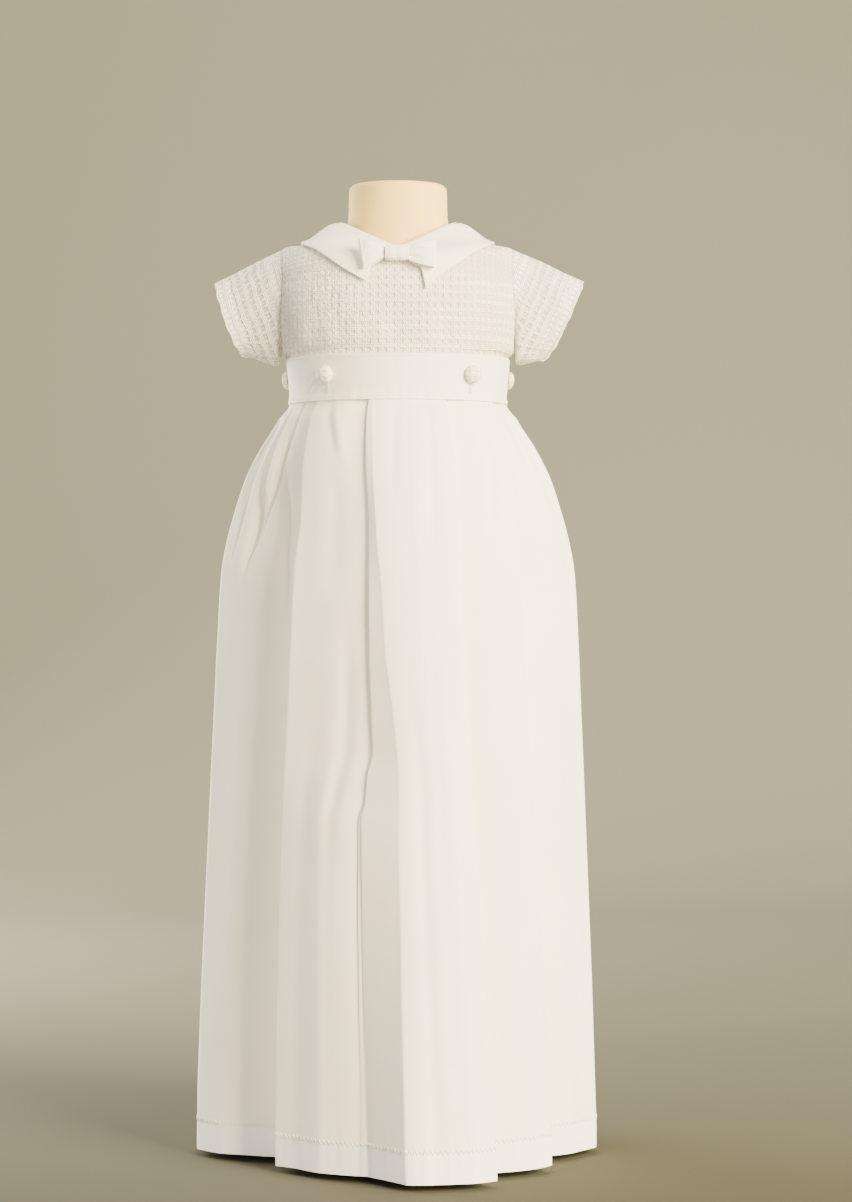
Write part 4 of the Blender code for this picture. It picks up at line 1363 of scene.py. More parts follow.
@dataclass
class Bow:
    """A small flat bow: two folded loops and the band round their middle."""

    material: bpy.types.Material
    centre_height: float = 0.6572
    centre_depth: float = 0.0676
    lean: float = 15.0
    knot_width: float = 0.0165
    knot_height: float = 0.0110
    knot_depth: float = 0.0076
    knot_lift: float = 0.0007
    knot_around: float = 0.031
    loop_thickness: float = 0.0056
    root_half: float = 0.0010
    tuck: float = 0.0025
    pleat: float = 0.0010
    wall: float = 0.0007

    LOOPS = {
        Side.LEFT: LoopShape(0.0058, -0.0012, 0.0106, -0.0112, 0.0278, 0.0240, 0.80),
        Side.RIGHT: LoopShape(0.0056, -0.0036, 0.0098, -0.0110, 0.0278, 0.0266, 0.50),
    }

    def place(self, x, depth, rise) -> np.ndarray:
        """Points from their place across, out of and up along the bow's leaning plane."""
        lean = math.radians(self.lean)
        x, depth, rise = np.broadcast_arrays(x, depth, rise)
        y = -self.centre_depth - depth * math.cos(lean) + rise * math.sin(lean)
        z = self.centre_height + depth * math.sin(lean) + rise * math.cos(lean)
        return np.stack([x, y, z], -1)

    def loop(self, side: Side) -> bpy.types.Object:
        """One loop: a band folded back on itself and pinched at the knot, with a soft pleat."""
        lengths, heights = 40, 36
        shape = self.LOOPS[side]
        root = self.knot_width / 2 - self.tuck
        v = np.linspace(0, 1, heights + 1)[:, None]
        walk = np.linspace(0, 2, 2 * lengths + 1)[None, :]
        front = walk <= 1
        t = np.where(front, walk, 2 - walk)
        spread = np.clip((1 - (1 - t) ** 1.15) * 1.12 - 0.12, 0, 1)
        reach = mix(shape.reach_low, shape.reach_top, v)
        x = mix(root, reach, 1 - (1 - t) ** 1.15)
        low = mix(shape.root_low, shape.end_low, spread**shape.fullness)
        rise = mix(low, mix(shape.root_top, shape.end_top, spread), v)
        swell = np.sin(math.pi * np.clip(spread, 0, 0.9) / 1.1)
        puff = mix(self.root_half, self.loop_thickness / 2, swell) * (1 - 0.25 * (2 * v - 1) ** 2)
        nose = np.sqrt(np.clip(1 - ((t - 0.92) / 0.08).clip(0, 1) ** 2, 0, 1))
        line = mix(0.80, 0.66, spread)
        lapped = ease(v, line - 0.03, line + 0.02) * (1 - ease(spread, 0.55, 1.0)) * self.pleat
        second = bump_curve(v, mix(0.30, 0.18, spread), 0.09) * (1 - ease(spread, 0.25, 0.8)) * self.pleat
        depth = np.where(front, (puff + lapped - 0.8 * second) * nose, -puff * nose)
        points = self.place(side.value * x, depth, rise)
        cut = np.stack([walk * shape.reach_top + 0 * v, v * (shape.end_top - shape.end_low) + 0 * walk], -1)
        cotton = Cloth(self.material, Slot.PLAIN, self.wall)
        return cotton.sew(f"bow_loop_{side.label}", Grid(points, cut), "folded", f"collar_{side.label}_cloth")

    def knot(self) -> bpy.types.Object:
        """The band round the middle, with two soft lengthwise folds."""
        columns, steps = 72, 22
        turn = 2 * math.pi * np.arange(columns) / columns
        share = np.linspace(-1, 1, steps + 1)[:, None]
        x = share * self.knot_width / 2
        plump = 1 - 0.10 * np.abs(share) ** 3
        folds = 1 - 0.045 * np.cos(2 * math.pi * (share * 1.1 + 0.12)) * (np.cos(turn) > -0.3)
        depth = self.knot_depth / 2 * signed_power(np.cos(turn), 0.8)[None, :] * plump * folds
        rise = self.knot_height / 2 * signed_power(np.sin(turn), 0.8)[None, :] * plump
        points = self.place(x + 0 * turn[None, :], depth, rise + self.knot_lift)
        around = np.linspace(0, self.knot_around, columns + 1)[None, :]
        grid = Grid(points, np.stack([around + 0 * share, x + 0 * around], -1), closed=True)
        cotton = Cloth(self.material, Slot.PLAIN, self.wall)
        return cotton.sew("bow_knot", grid, "stretched", "bow_loop_left_cloth")


# ---------------------------------------------------------------- waistband and buttons


@dataclass
class Waistband:
    """The plain band round the waist, with a buttonhole under each button."""

    material: bpy.types.Material
    stitcher: Stitcher
    bottom: float = 0.555
    lap: float = 0.0016
    top: float = 0.586
    half_width: float = 0.0795
    front_depth: float = 0.0660
    back_depth: float = 0.0620
    flare: float = 0.0028
    thickness: float = 0.0010
    button_level: float = 0.572
    button_angles: tuple = (-39, 41, -96, 96, -140, 140)
    button_diameter: float = 0.0134
    button_rise: float = 0.0064
    back_button_rise: float = 0.0046
    hem_lift: float = 0.0011
    hem_lift_width: float = 0.0035
    gathers: float = 0.00028
    unevenness: float = 0.0003
    drawn_in: float = 0.0003
    columns: int = 320
    rows: int = 20

    WRINKLES = ((-39.0, 0.00065), (41.0, 0.00030))
    WRINKLE_PITCH = 0.0052
    GATHER_WAVES = (0.0105, 0.0071, 0.0163)
    UNEVEN_WAVES = (0.061, 0.043)
    LOWER_LINE, UPPER_LINE = 0.0009, 0.0018
    LOWER_LIFT = 0.0007
    HOLE_BOTTOM, HOLE_TOP = 0.0020, 0.0108
    HOLE_SIDES = (-0.55, 0.55)
    EDGE_STYLE = StitchStyle(pitch=0.0026, length=0.0020, radius=0.00022)
    HOLE_STYLE = StitchStyle(pitch=0.00036, length=0.00125, radius=0.00017, swing=90.0)

    def surface(self, angle, height) -> tuple[np.ndarray, np.ndarray]:
        """Points of the band and the directions that face out of it."""
        angle, height = np.broadcast_arrays(np.asarray(angle, float), np.asarray(height, float))
        grow = self.flare * (height - self.bottom) / (self.top - self.bottom)
        s, c = np.sin(np.radians(angle)), np.cos(np.radians(angle))
        depth = np.where(c > 0, self.front_depth, self.back_depth)
        x, y = (self.half_width + grow) * s, -(depth + grow) * c
        out = unit(np.stack([x / self.half_width**2, y / depth**2, 0 * x], -1))
        out[..., 2] = -self.flare / (self.top - self.bottom)
        return np.stack([x, y, height], -1), unit(out)

    def build(self) -> bpy.types.Object:
        angles = 360 * np.arange(self.columns) / self.columns
        heights = np.linspace(self.top, self.bottom - self.lap, self.rows + 1)[:, None]
        points, out = self.surface(angles[None, :], heights)
        lift = self.hem_lift * bump_curve(heights, self.bottom - self.lap, self.hem_lift_width)
        points = points + out * lift[..., None]
        across = walked(np.concatenate([points[0], points[0][:1]]))
        low = (heights - self.bottom) / (self.top - self.bottom)
        pull = ripple(5, across[:-1], self.GATHER_WAVES)[None, :]
        pull = pull * bump_curve(low, 0.06, 0.16) * self.gathers
        ease_in = ripple(9, across[:-1][None, :] + 0.02 * low, self.UNEVEN_WAVES) * self.unevenness
        tug = sum(bump_curve((angles[None, :] - a + 180) % 360 - 180, 0, 5.0) for a in self.button_angles)
        shape = pull + ease_in * np.sin(math.pi * low) - self.drawn_in * tug * bump_curve(low, 0.5, 0.3)
        for button, depth in self.WRINKLES:
            shape = shape + self.wrinkles(angles[None, :], heights, button, depth)
        points = points + out * shape[..., None]
        up = np.broadcast_to(self.top - heights, (self.rows + 1, self.columns + 1))
        grid = Grid(points, np.stack([np.broadcast_to(across, up.shape), up], -1), closed=True)
        piece = cloth("waistband_cloth", grid, self.material, self.thickness)
        report(piece, Slot.PLAIN, "waistband")
        return piece

    def wrinkles(self, angles: np.ndarray, heights: np.ndarray, button: float, depth: float) -> np.ndarray:
        """Small slanted wrinkles that run from a button down and outward to the band's edge."""
        side = math.copysign(1.0, button)
        outward = side * np.radians((angles - button + 180) % 360 - 180) * self.half_width
        down = self.button_level - heights
        past = 0.80 * outward + 0.60 * down
        beside = 0.60 * outward - 0.80 * down
        fade = bump_curve(beside, 0.0, 0.0065) * ease(past, 0.002, 0.008) * (1 - ease(past, 0.016, 0.030))
        return depth * np.cos(2 * math.pi * beside / self.WRINKLE_PITCH + 0.6) * fade

    def level_run(self, height: float, lift: float) -> StitchRun:
        """A closed line round the band at a height, standing a little off it."""
        angles = np.linspace(0, 360, 361)[:-1]
        points, out = self.surface(angles, height)
        return StitchRun(points + out * (self.thickness / 2 + lift), out, closed=True)

    def stitches(self) -> None:
        """Sews the band's two edges, and the buttonholes that show below the buttons."""
        lower = self.level_run(self.bottom + self.LOWER_LINE, self.LOWER_LIFT)
        upper = self.level_run(self.top - self.UPPER_LINE, 0.0)
        report(self.stitcher.sew("waistband_edge_stitches", [lower, upper], self.EDGE_STYLE), Slot.PLAIN)
        bars: list[StitchRun] = []
        for angle in self.button_angles:
            for beside in self.HOLE_SIDES:
                heights = np.linspace(self.bottom + self.HOLE_BOTTOM, self.bottom + self.HOLE_TOP, 12)
                points, out = self.surface(angle + beside, heights)
                bars.append(StitchRun(points + out * (self.thickness / 2), out))
        report(self.stitcher.sew("buttonhole_stitches", bars, self.HOLE_STYLE), Slot.PLAIN)

    def buttons(self, material: bpy.types.Material) -> None:
        """Sews on the six buttons, the two at the front a little plumper."""
        for number, angle in enumerate(self.button_angles, 1):
            place, out = self.surface(float(angle), self.button_level)
            rise = self.button_rise if abs(angle) < 90 else self.back_button_rise
            CoveredButton(f"waist_button_{number}", material, place, out, self.button_diameter, rise).build()


@dataclass
class CoveredButton:
    """A domed button covered in cloth and drawn in underneath. PROFILE is in radii and heights."""

    node: str
    material: bpy.types.Material
    place: np.ndarray
    outward: np.ndarray
    diameter: float
    height: float
    gap: float = 0.0008
    segments: int = 40
    tucks: int = 16
    tuck_depth: float = 0.035

    PROFILE = (
        (0.0, 1.0), (0.20, 0.99), (0.40, 0.95), (0.58, 0.875), (0.74, 0.765), (0.86, 0.63), (0.95, 0.48),
        (0.99, 0.34), (0.985, 0.22), (0.94, 0.12), (0.84, 0.05), (0.60, 0.01), (0.30, 0.0), (0.0, 0.0),
    )

    def build(self) -> bpy.types.Object:
        """Builds the button where it is sewn on."""
        radius, height = self.diameter / 2, self.height
        name = f"{self.node}_covered"
        mesh = turned(name, [(radius * r, height * z) for r, z in self.PROFILE], self.segments)
        co = np.empty(len(mesh.vertices) * 3)
        mesh.vertices.foreach_get("co", co)
        co = co.reshape(-1, 3)
        turn = np.arctan2(co[:, 1], co[:, 0])
        low = 1 - ease(co[:, 2], 0.10 * height, 0.5 * height)
        draw = 1 - self.tuck_depth * low * (0.5 + 0.5 * np.sin(turn * self.tucks))
        co[:, :2] *= draw[:, None]
        quat = Vector(self.outward).to_track_quat("Z", "Y").to_matrix()
        matrix = np.array([list(row) for row in quat])
        placed = co @ matrix.T + self.place + self.outward * self.gap
        mesh.vertices.foreach_set("co", placed.reshape(-1).astype(np.float32))
        mesh.update()
        return report(link(name, mesh, self.material), Slot.WOVEN, self.node)


@dataclass
class BackButtons:
    """The small buttons that close the back opening."""

    material: bpy.types.Material
    heights: tuple = (0.602, 0.634, 0.664)
    diameter: float = 0.0095
    rise: float = 0.0036

    def build(self) -> None:
        """Sews each one on at the level of the bust that lies nearest its height."""
        levels = np.arange(1.0, Bust.NECKLINE, 0.01)
        level_heights = Bust.surface(180.0, levels)[:, 2]
        for number, height in enumerate(self.heights, 1):
            level = levels[int(np.argmin(np.abs(level_heights - height)))]
            sewn_at = Bust.surface(180.0, level), Bust.normal(180.0, level)
            CoveredButton(f"back_button_{number}", self.material, *sewn_at, self.diameter, self.rise).build()


# ---------------------------------------------------------------- skirt


class Panel(Enum):
    """Which half of the skirt. Its value is the way along Y that it faces."""

    FRONT = -1
    BACK = 1

    @property
    def label(self) -> str:
        """The panel's name in a piece's name."""
        return self.name.lower()


class Level(Enum):
    """Where a fold's place is given."""

    WAIST = "waist"
    HIP = "hip"
    HEM = "hem"


class Outline(NamedTuple):
    """The skirt's outline at a height: half its width, and how far front and back stand out."""

    height: float
    half_width: float
    front_depth: float
    back_depth: float


class Fold(NamedTuple):
    """A pleat's fold: its angle at the waist, its layers, and its place at hip and hem."""

    name: str
    waist: float
    layer_in: int
    layer_out: int
    hip_x: float
    hip_depth: float
    hem_x: float
    hem_depth: float
    open_at_hem: bool
    pitch: float = PITCH_OF_LAYERS


class Stretch(NamedTuple):
    """The cloth between two folds: its columns, where it slips under, and its bulge."""

    columns: int
    slip_start: float
    slip_end: float
    bulge: float
    lean: float


class Crease(NamedTuple):
    """A soft trough (or ridge, if its depth is below 0) that runs down the cloth and dies out.

    Top and low are its places along a stretch, as shares, and start and end the heights of its run.
    """

    stretch: int
    top: float
    low: float
    depth: float
    width: float
    start: float
    end: float


@dataclass
class Skirt:
    """The pleated skirt: a front and a back panel, sewn to the band and at the sides.

    DRIFTS moves a fold sideways as it falls: each row is a height and a distance to the right.
    """

    material: bpy.types.Material
    stitcher: Stitcher
    waist_height: float = 0.555
    hip_height: float = 0.409
    hem_height: float = 0.005
    waist_half_width: float = 0.0795
    waist_depth: float = 0.0660
    fullness: float = 0.8
    seam_trim: float = 0.0002
    thickness: float = 0.0006
    hem_depth: float = 0.0210
    hem_rows: int = 8
    rows: int = 104
    ridge: float = 0.00012
    ridge_width: float = 0.0009
    puckers: float = 0.00026
    puckers_width: float = 0.0150
    wave: float = 0.0007
    wave_reach: float = 0.06
    stitch_groove: float = 0.00022
    groove_width: float = 0.0009

    CREASE_STRETCH = 4
    NEAR_WAIST = 0.54
    NEAR_HEM = 0.05
    PUCKER_WAVES = (0.0082, 0.0121, 0.0190)
    HEM_WAVES = (0.047, 0.071)
    HEM_STYLE = StitchStyle(pitch=0.0018, length=0.0036, radius=0.00029, swing=66.0)

    OUTLINE = (
        Outline(0.5544, 0.0795, 0.0660, 0.0620),
        Outline(0.5420, 0.0880, 0.0705, 0.0670),
        Outline(0.5200, 0.1017, 0.0780, 0.0755),
        Outline(0.4980, 0.1126, 0.0850, 0.0830),
        Outline(0.4760, 0.1198, 0.0910, 0.0895),
        Outline(0.4530, 0.1260, 0.0965, 0.0950),
        Outline(0.4310, 0.1300, 0.1010, 0.1000),
        Outline(0.4090, 0.1317, 0.1045, 0.1035),
        Outline(0.3650, 0.1340, 0.1110, 0.1095),
        Outline(0.2760, 0.1380, 0.1215, 0.1200),
        Outline(0.1870, 0.1420, 0.1300, 0.1290),
        Outline(0.0980, 0.1458, 0.1365, 0.1360),
        Outline(0.0050, 0.1484, 0.1402, 0.1402),
    )
    FRONT_FOLDS = (
        Fold("left_side", -90, 0, 0, -1.000, 0.000, -1.000, 0.015, False),
        Fold("left_under", -31, 2, 1, -0.384, 0.500, -0.470, 0.315, False),
        Fold("left_edge", -47, 1, 0, -0.574, 0.660, -0.583, 0.515, False),
        Fold("centre_under", -5, 2, 1, -0.110, 0.920, -0.190, 0.785, True, PITCH_OF_CENTRE),
        Fold("centre_edge", -16, 1, 0, -0.178, 0.935, -0.158, 0.795, True, PITCH_OF_CENTRE),
        Fold("centre_crease", -13, 0, 0, -0.085, 0.985, 0.047, 1.000, False),
        Fold("right_edge", 26, 0, 1, 0.338, 0.935, 0.469, 0.892, False),
        Fold("right_under", 12, 1, 2, 0.215, 0.820, 0.325, 0.745, False),
        Fold("far_edge", 60, 0, 1, 0.670, 0.640, 0.747, 0.505, False),
        Fold("far_under", 44, 1, 2, 0.540, 0.500, 0.590, 0.345, False),
        Fold("right_side", 90, 0, 0, 1.000, 0.000, 0.984, -0.010, False),
    )
    BACK_FOLDS = (
        Fold("right_side", -90, 0, 0, -1.000, 0.000, -0.984, 0.010, False),
        Fold("outer_under", -44, 2, 1, -0.520, 0.520, -0.560, 0.380, False),
        Fold("outer_edge", -59, 1, 0, -0.680, 0.640, -0.720, 0.540, False),
        Fold("box_under", -11, 2, 1, -0.190, 0.830, -0.270, 0.760, False),
        Fold("box_edge", -25, 1, 0, -0.330, 0.940, -0.400, 0.925, False),
        Fold("box_edge", 25, 0, 1, 0.330, 0.940, 0.400, 0.925, False),
        Fold("box_under", 11, 1, 2, 0.190, 0.830, 0.270, 0.760, False),
        Fold("outer_edge", 59, 0, 1, 0.680, 0.640, 0.720, 0.540, False),
        Fold("outer_under", 44, 1, 2, 0.520, 0.520, 0.560, 0.380, False),
        Fold("left_side", 90, 0, 0, 1.000, 0.000, 1.000, -0.015, False),
    )
    FRONT_STRETCHES = (
        Stretch(72, 0.46, 0.66, 0.085, 0.66),
        Stretch(10, 0.0, 1.0, 0.0, 1.0),
        Stretch(44, 0.42, 0.68, 0.030, 1.5),
        Stretch(6, 0.0, 1.0, 0.0, 1.0),
        Stretch(34, 0.0, 1.0, 0.0, 1.0),
        Stretch(64, 0.0, 1.0, 0.045, 1.0),
        Stretch(10, 0.0, 1.0, 0.0, 1.0),
        Stretch(44, 0.34, 0.58, 0.050, 1.0),
        Stretch(10, 0.0, 1.0, 0.0, 1.0),
        Stretch(60, 0.47, 0.66, 0.070, 1.3),
    )
    BACK_STRETCHES = (
        Stretch(56, 0.46, 0.64, 0.075, 0.75),
        Stretch(10, 0.0, 1.0, 0.0, 1.0),
        Stretch(40, 0.42, 0.66, 0.045, 1.0),
        Stretch(10, 0.0, 1.0, 0.0, 1.0),
        Stretch(60, 0.0, 1.0, 0.070, 1.0),
        Stretch(10, 0.0, 1.0, 0.0, 1.0),
        Stretch(40, 0.34, 0.58, 0.045, 1.0),
        Stretch(10, 0.0, 1.0, 0.0, 1.0),
        Stretch(56, 0.36, 0.54, 0.075, 1.33),
    )
    CENTRE_DRIFT = (
        (0.549, 0.0015), (0.510, 0.0030), (0.465, 0.0052), (0.410, 0.0045), (0.370, 0.0051),
        (0.3285, 0.0065), (0.301, 0.0076), (0.288, 0.0042), (0.263, 0.0012), (0.256, -0.0014),
        (0.227, -0.0011), (0.130, 0.0004), (0.050, 0.0025), (0.005, 0.0031),
    )
    LEFT_DRIFT = (
        (0.549, 0.0), (0.516, 0.0030), (0.485, 0.0052), (0.465, 0.0056), (0.440, 0.0030), (0.409, 0.0012),
        (0.180, -0.0012), (0.005, 0.0),
    )
    UNDER_DRIFT = (
        (0.549, 0.0015), (0.510, 0.0030), (0.465, 0.0052), (0.410, 0.0045), (0.370, 0.0051),
        (0.3285, 0.0065), (0.301, 0.0066), (0.288, 0.0012), (0.263, -0.0044), (0.256, -0.0072),
        (0.227, -0.0064), (0.130, -0.0026), (0.050, 0.0018), (0.005, 0.0031),
    )
    DRIFTS = {
        "left_under": LEFT_DRIFT,
        "left_edge": LEFT_DRIFT,
        "centre_under": UNDER_DRIFT,
        "centre_edge": CENTRE_DRIFT,
        "centre_crease": (
            (0.549, 0.0), (0.451, -0.0012), (0.410, 0.0008), (0.370, 0.0020), (0.3285, 0.0056),
            (0.288, 0.0074), (0.227, 0.0052), (0.200, 0.0048), (0.130, 0.0030), (0.060, 0.0012), (0.005, 0.0),
        ),
    }
    FRONT_CREASES = (
        Crease(0, 0.14, 0.10, 0.0042, 0.060, 0.555, 0.455),
        Crease(0, 0.30, 0.34, 0.0080, 0.060, 0.555, 0.420),
        Crease(0, 0.46, 0.56, 0.0026, 0.070, 0.555, 0.440),
        Crease(9, 0.60, 0.56, 0.0028, 0.080, 0.555, 0.480),
        Crease(9, 0.80, 0.80, 0.0036, 0.080, 0.555, 0.460),
        Crease(0, 0.10, 0.04, 0.0030, 0.022, 0.554, 0.470),
        Crease(0, 0.20, 0.15, 0.0056, 0.022, 0.554, 0.430),
        Crease(0, 0.27, 0.24, -0.0016, 0.020, 0.554, 0.470),
        Crease(0, 0.36, 0.28, 0.0066, 0.022, 0.554, 0.410),
        Crease(0, 0.40, 0.42, -0.0020, 0.024, 0.554, 0.450),
        Crease(0, 0.54, 0.38, 0.0068, 0.024, 0.554, 0.440),
        Crease(0, 0.56, 0.66, 0.0050, 0.050, 0.510, 0.380),
        Crease(2, 0.20, 0.46, 0.0011, 0.070, 0.556, 0.505),
        Crease(2, 0.30, 0.52, -0.0010, 0.070, 0.556, 0.505),
        Crease(2, 0.40, 0.50, 0.0010, 0.120, 0.520, 0.400),
        Crease(2, 0.66, 0.66, 0.0014, 0.090, 0.410, 0.200),
        Crease(5, 0.30, 0.22, 0.0006, 0.060, 0.553, 0.470),
        Crease(5, 0.72, 0.66, 0.0009, 0.060, 0.553, 0.430),
        Crease(5, 0.50, 0.46, -0.0005, 0.080, 0.553, 0.300),
        Crease(7, 0.70, 0.64, 0.0010, 0.050, 0.553, 0.440),
        Crease(9, 0.68, 0.66, 0.0012, 0.028, 0.553, 0.500),
        Crease(9, 0.90, 0.92, 0.0014, 0.030, 0.553, 0.490),
        Crease(0, 0.20, 0.14, 0.0016, 0.120, 0.430, 0.060),
        Crease(0, 0.45, 0.36, -0.0018, 0.110, 0.420, 0.020),
        Crease(2, 0.30, 0.26, 0.0008, 0.110, 0.360, 0.030),
        Crease(2, 0.52, 0.56, -0.0007, 0.090, 0.330, 0.010),
        Crease(5, 0.28, 0.34, 0.0010, 0.100, 0.380, 0.010),
        Crease(5, 0.68, 0.74, -0.0010, 0.110, 0.400, 0.010),
        Crease(9, 0.72, 0.70, 0.0016, 0.110, 0.430, 0.030),
    )
    BACK_CREASES = (
        Crease(0, 0.12, 0.12, 0.0032, 0.080, 0.555, 0.460),
        Crease(0, 0.32, 0.34, 0.0032, 0.080, 0.555, 0.450),
        Crease(8, 0.68, 0.66, 0.0032, 0.080, 0.555, 0.450),
        Crease(8, 0.88, 0.88, 0.0032, 0.080, 0.555, 0.460),
        Crease(0, 0.22, 0.18, 0.0012, 0.026, 0.553, 0.490),
        Crease(2, 0.20, 0.14, 0.0008, 0.050, 0.553, 0.480),
        Crease(4, 0.22, 0.16, 0.0009, 0.050, 0.553, 0.450),
        Crease(4, 0.55, 0.60, 0.0008, 0.060, 0.553, 0.420),
        Crease(4, 0.82, 0.88, 0.0009, 0.050, 0.553, 0.460),
        Crease(6, 0.76, 0.82, 0.0008, 0.050, 0.553, 0.480),
        Crease(8, 0.78, 0.80, 0.0012, 0.026, 0.553, 0.490),
        Crease(4, 0.34, 0.30, 0.0010, 0.100, 0.380, 0.010),
        Crease(4, 0.68, 0.74, -0.0010, 0.110, 0.400, 0.010),
        Crease(0, 0.30, 0.24, -0.0016, 0.120, 0.420, 0.030),
        Crease(8, 0.70, 0.72, 0.0016, 0.110, 0.430, 0.030),
    )

    PANELS = {
        Panel.FRONT: (FRONT_FOLDS, FRONT_STRETCHES, FRONT_CREASES),
        Panel.BACK: (BACK_FOLDS, BACK_STRETCHES, BACK_CREASES),
    }

    def fold_place(self, fold: Fold, layer: int, level: Level) -> tuple[float, float]:
        """A fold's place on one of its layers at that level, as shares of width and depth."""
        if level is Level.WAIST:
            inset = layer * PITCH_AT_SEAM
            s, c = math.sin(math.radians(fold.waist)), math.cos(math.radians(fold.waist))
            return s * (1 - inset / self.waist_half_width), c * (1 - inset / self.waist_depth)
        at_hip = level is Level.HIP
        x, depth = (fold.hip_x, fold.hip_depth) if at_hip else (fold.hem_x, fold.hem_depth)
        height = self.hip_height if at_hip else self.hem_height
        _, half_width, front_depth, _ = along(self.OUTLINE, row_of(self.OUTLINE, height))
        half_nose = ((fold.layer_in + fold.layer_out) / 2 - layer) * fold.pitch
        if level is Level.HEM and fold.open_at_hem:
            return x + half_nose / float(half_width), depth + 0.4 * half_nose / float(front_depth)
        return x, depth + half_nose / float(front_depth)

    def stretch_points(self, start: Fold, end: Fold, stretch: Stretch, level: Level) -> np.ndarray:
        """The points of the cloth between two folds at that level, as shares."""
        t = np.linspace(0, 1, stretch.columns + 1)
        if level is Level.WAIST:
            slip = ease(t, stretch.slip_start, stretch.slip_end)
            inset = mix(start.layer_out, end.layer_in, slip) * PITCH_AT_SEAM
            angle = np.radians(mix(start.waist, end.waist, t))
            s = np.sin(angle) * (1 - inset / self.waist_half_width)
            c = np.cos(angle) * (1 - inset / self.waist_depth)
            return np.stack([s, c], -1)
        x0, d0 = self.fold_place(start, start.layer_out, level)
        x1, d1 = self.fold_place(end, end.layer_in, level)
        length = math.hypot(x1 - x0, d1 - d0)
        across, out = (x1 - x0) / length, (d1 - d0) / length
        bulge = stretch.bulge * np.maximum(np.sin(math.pi * t**stretch.lean), 0.0) ** self.fullness
        return np.stack([mix(x0, x1, t) - out * bulge, mix(d0, d1, t) + across * bulge], -1)

    def drift(self, fold: Fold, height: np.ndarray) -> np.ndarray:
        """How far a fold lies to the right of its straight fall, at the rows' heights."""
        table = self.DRIFTS.get(fold.name)
        if table is None:
            return np.zeros_like(height)
        return along(table, row_of(table, height))[1]

    def pressed(self, index: int, points: np.ndarray) -> np.ndarray:
        """How far the cloth stands out along the pressed crease of the front's middle.

        Args:
            index: The stretch's number.
            points: The stretch's points.

        Returns:
            Rows by columns of heights: a fine sharp ridge at the crease.
        """
        if index not in (self.CREASE_STRETCH, self.CREASE_STRETCH + 1):
            return np.zeros(points.shape[:2])
        before = index == self.CREASE_STRETCH
        away = np.linalg.norm(points - points[:, -1:] if before else points - points[:, :1], axis=-1)
        return np.exp(-away / self.ridge_width) * self.ridge

    def crease_depth(
        self, creases: Sequence[Crease], index: int, t: np.ndarray, height: np.ndarray
    ) -> np.ndarray:
        """How far the creases of a stretch draw the cloth in.

        Args:
            creases: All the creases of the panel.
            index: The stretch's number.
            t: The places along the stretch, 0 to 1.
            height: The rows' heights.

        Returns:
            Rows by columns of depths, in metres.
        """
        depth = np.zeros((len(height), len(t)))
        window = ease(t, 0.0, 0.08) * (1 - ease(t, 0.92, 1.0))
        for crease in creases:
            if crease.stretch != index:
                continue
            fall = (crease.start - height) / (crease.start - crease.end)
            running = (fall >= 0) & (fall <= 1)
            from_waist = crease.start > self.NEAR_WAIST
            begin = mix(0.18, 1.0, ease(fall, 0.0, 0.3)) if from_waist else ease(fall, 0.0, 0.35)
            near_hem = crease.end < self.NEAR_HEM
            finish = 1.0 if near_hem else 1 - ease(fall, 0.55, 1.0)
            swell = np.where(running | (near_hem & (fall > 1)), begin * finish, 0.0)
            centre = mix(crease.top, crease.low, np.clip(fall, 0, 1))
            hill = bump_curve(t[None, :], centre[:, None], crease.width)
            depth += crease.depth * swell[:, None] * hill * window[None, :]
        return depth

    def heights(self) -> np.ndarray:
        """The rows' heights, closer together near the waist and at the hem's stitch line."""
        share = np.linspace(0, 1, self.rows - self.hem_rows + 1)
        top = self.OUTLINE[0].height
        main = top - (top - self.hem_height - self.hem_depth - 0.004) * (0.45 * share + 0.55 * share**1.6)
        hem = np.linspace(self.hem_height + self.hem_depth + 0.0012, self.hem_height, self.hem_rows)
        return np.concatenate([main, hem])

    def surface(self, panel: Panel) -> tuple[Grid, np.ndarray]:
        """Builds one panel's surface.

        Args:
            panel: The front or the back.

        Returns:
            The grid, and the outward directions of its points.
        """
        facing, front = panel.value, panel is Panel.FRONT
        folds, stretches, creases = self.PANELS[panel]
        height = self.heights()
        _, half_width, front_depth, back_depth = along(self.OUTLINE, row_of(self.OUTLINE, height))
        depth_here = front_depth if front else back_depth
        to_hip = np.clip((self.waist_height - height) / (self.waist_height - self.hip_height), 0, 1)
        to_hip = (1 - (1 - to_hip) ** 1.7)[:, None, None]
        to_hem = np.clip((self.hip_height - height) / (self.hip_height - self.hem_height), 0, 1)
        to_hem = to_hem[:, None, None]
        parts: list[np.ndarray] = []
        for index, stretch in enumerate(stretches):
            start, end = folds[index], folds[index + 1]
            waist, hip, hem = (self.stretch_points(start, end, stretch, level)[None] for level in Level)
            share = mix(mix(waist, hip, to_hip), hem, to_hem)
            t = np.linspace(0, 1, stretch.columns + 1)
            x = -facing * share[..., 0] * half_width[:, None]
            y = facing * share[..., 1] * depth_here[:, None]
            if front:
                x = x + mix(self.drift(start, height)[:, None], self.drift(end, height)[:, None], t[None, :])
            drawn = self.crease_depth(creases, index, t, height)
            if front:
                drawn = drawn - self.pressed(index, np.stack([x, y], -1))
            scale = 1 - drawn / np.maximum(np.hypot(x, y), 1e-6)
            points = np.stack([x * scale, y * scale, np.broadcast_to(height[:, None], x.shape)], -1)
            if index and folds[index].layer_in == folds[index].layer_out:
                points = points[:, 1:]
            elif index:
                parts.append(self.nose(parts[-1], points))
            parts.append(points)
        points = np.concatenate(parts, axis=1)
        for end, near in ((0, points[:, :1, 0]), (-1, points[:, -1:, 0])):
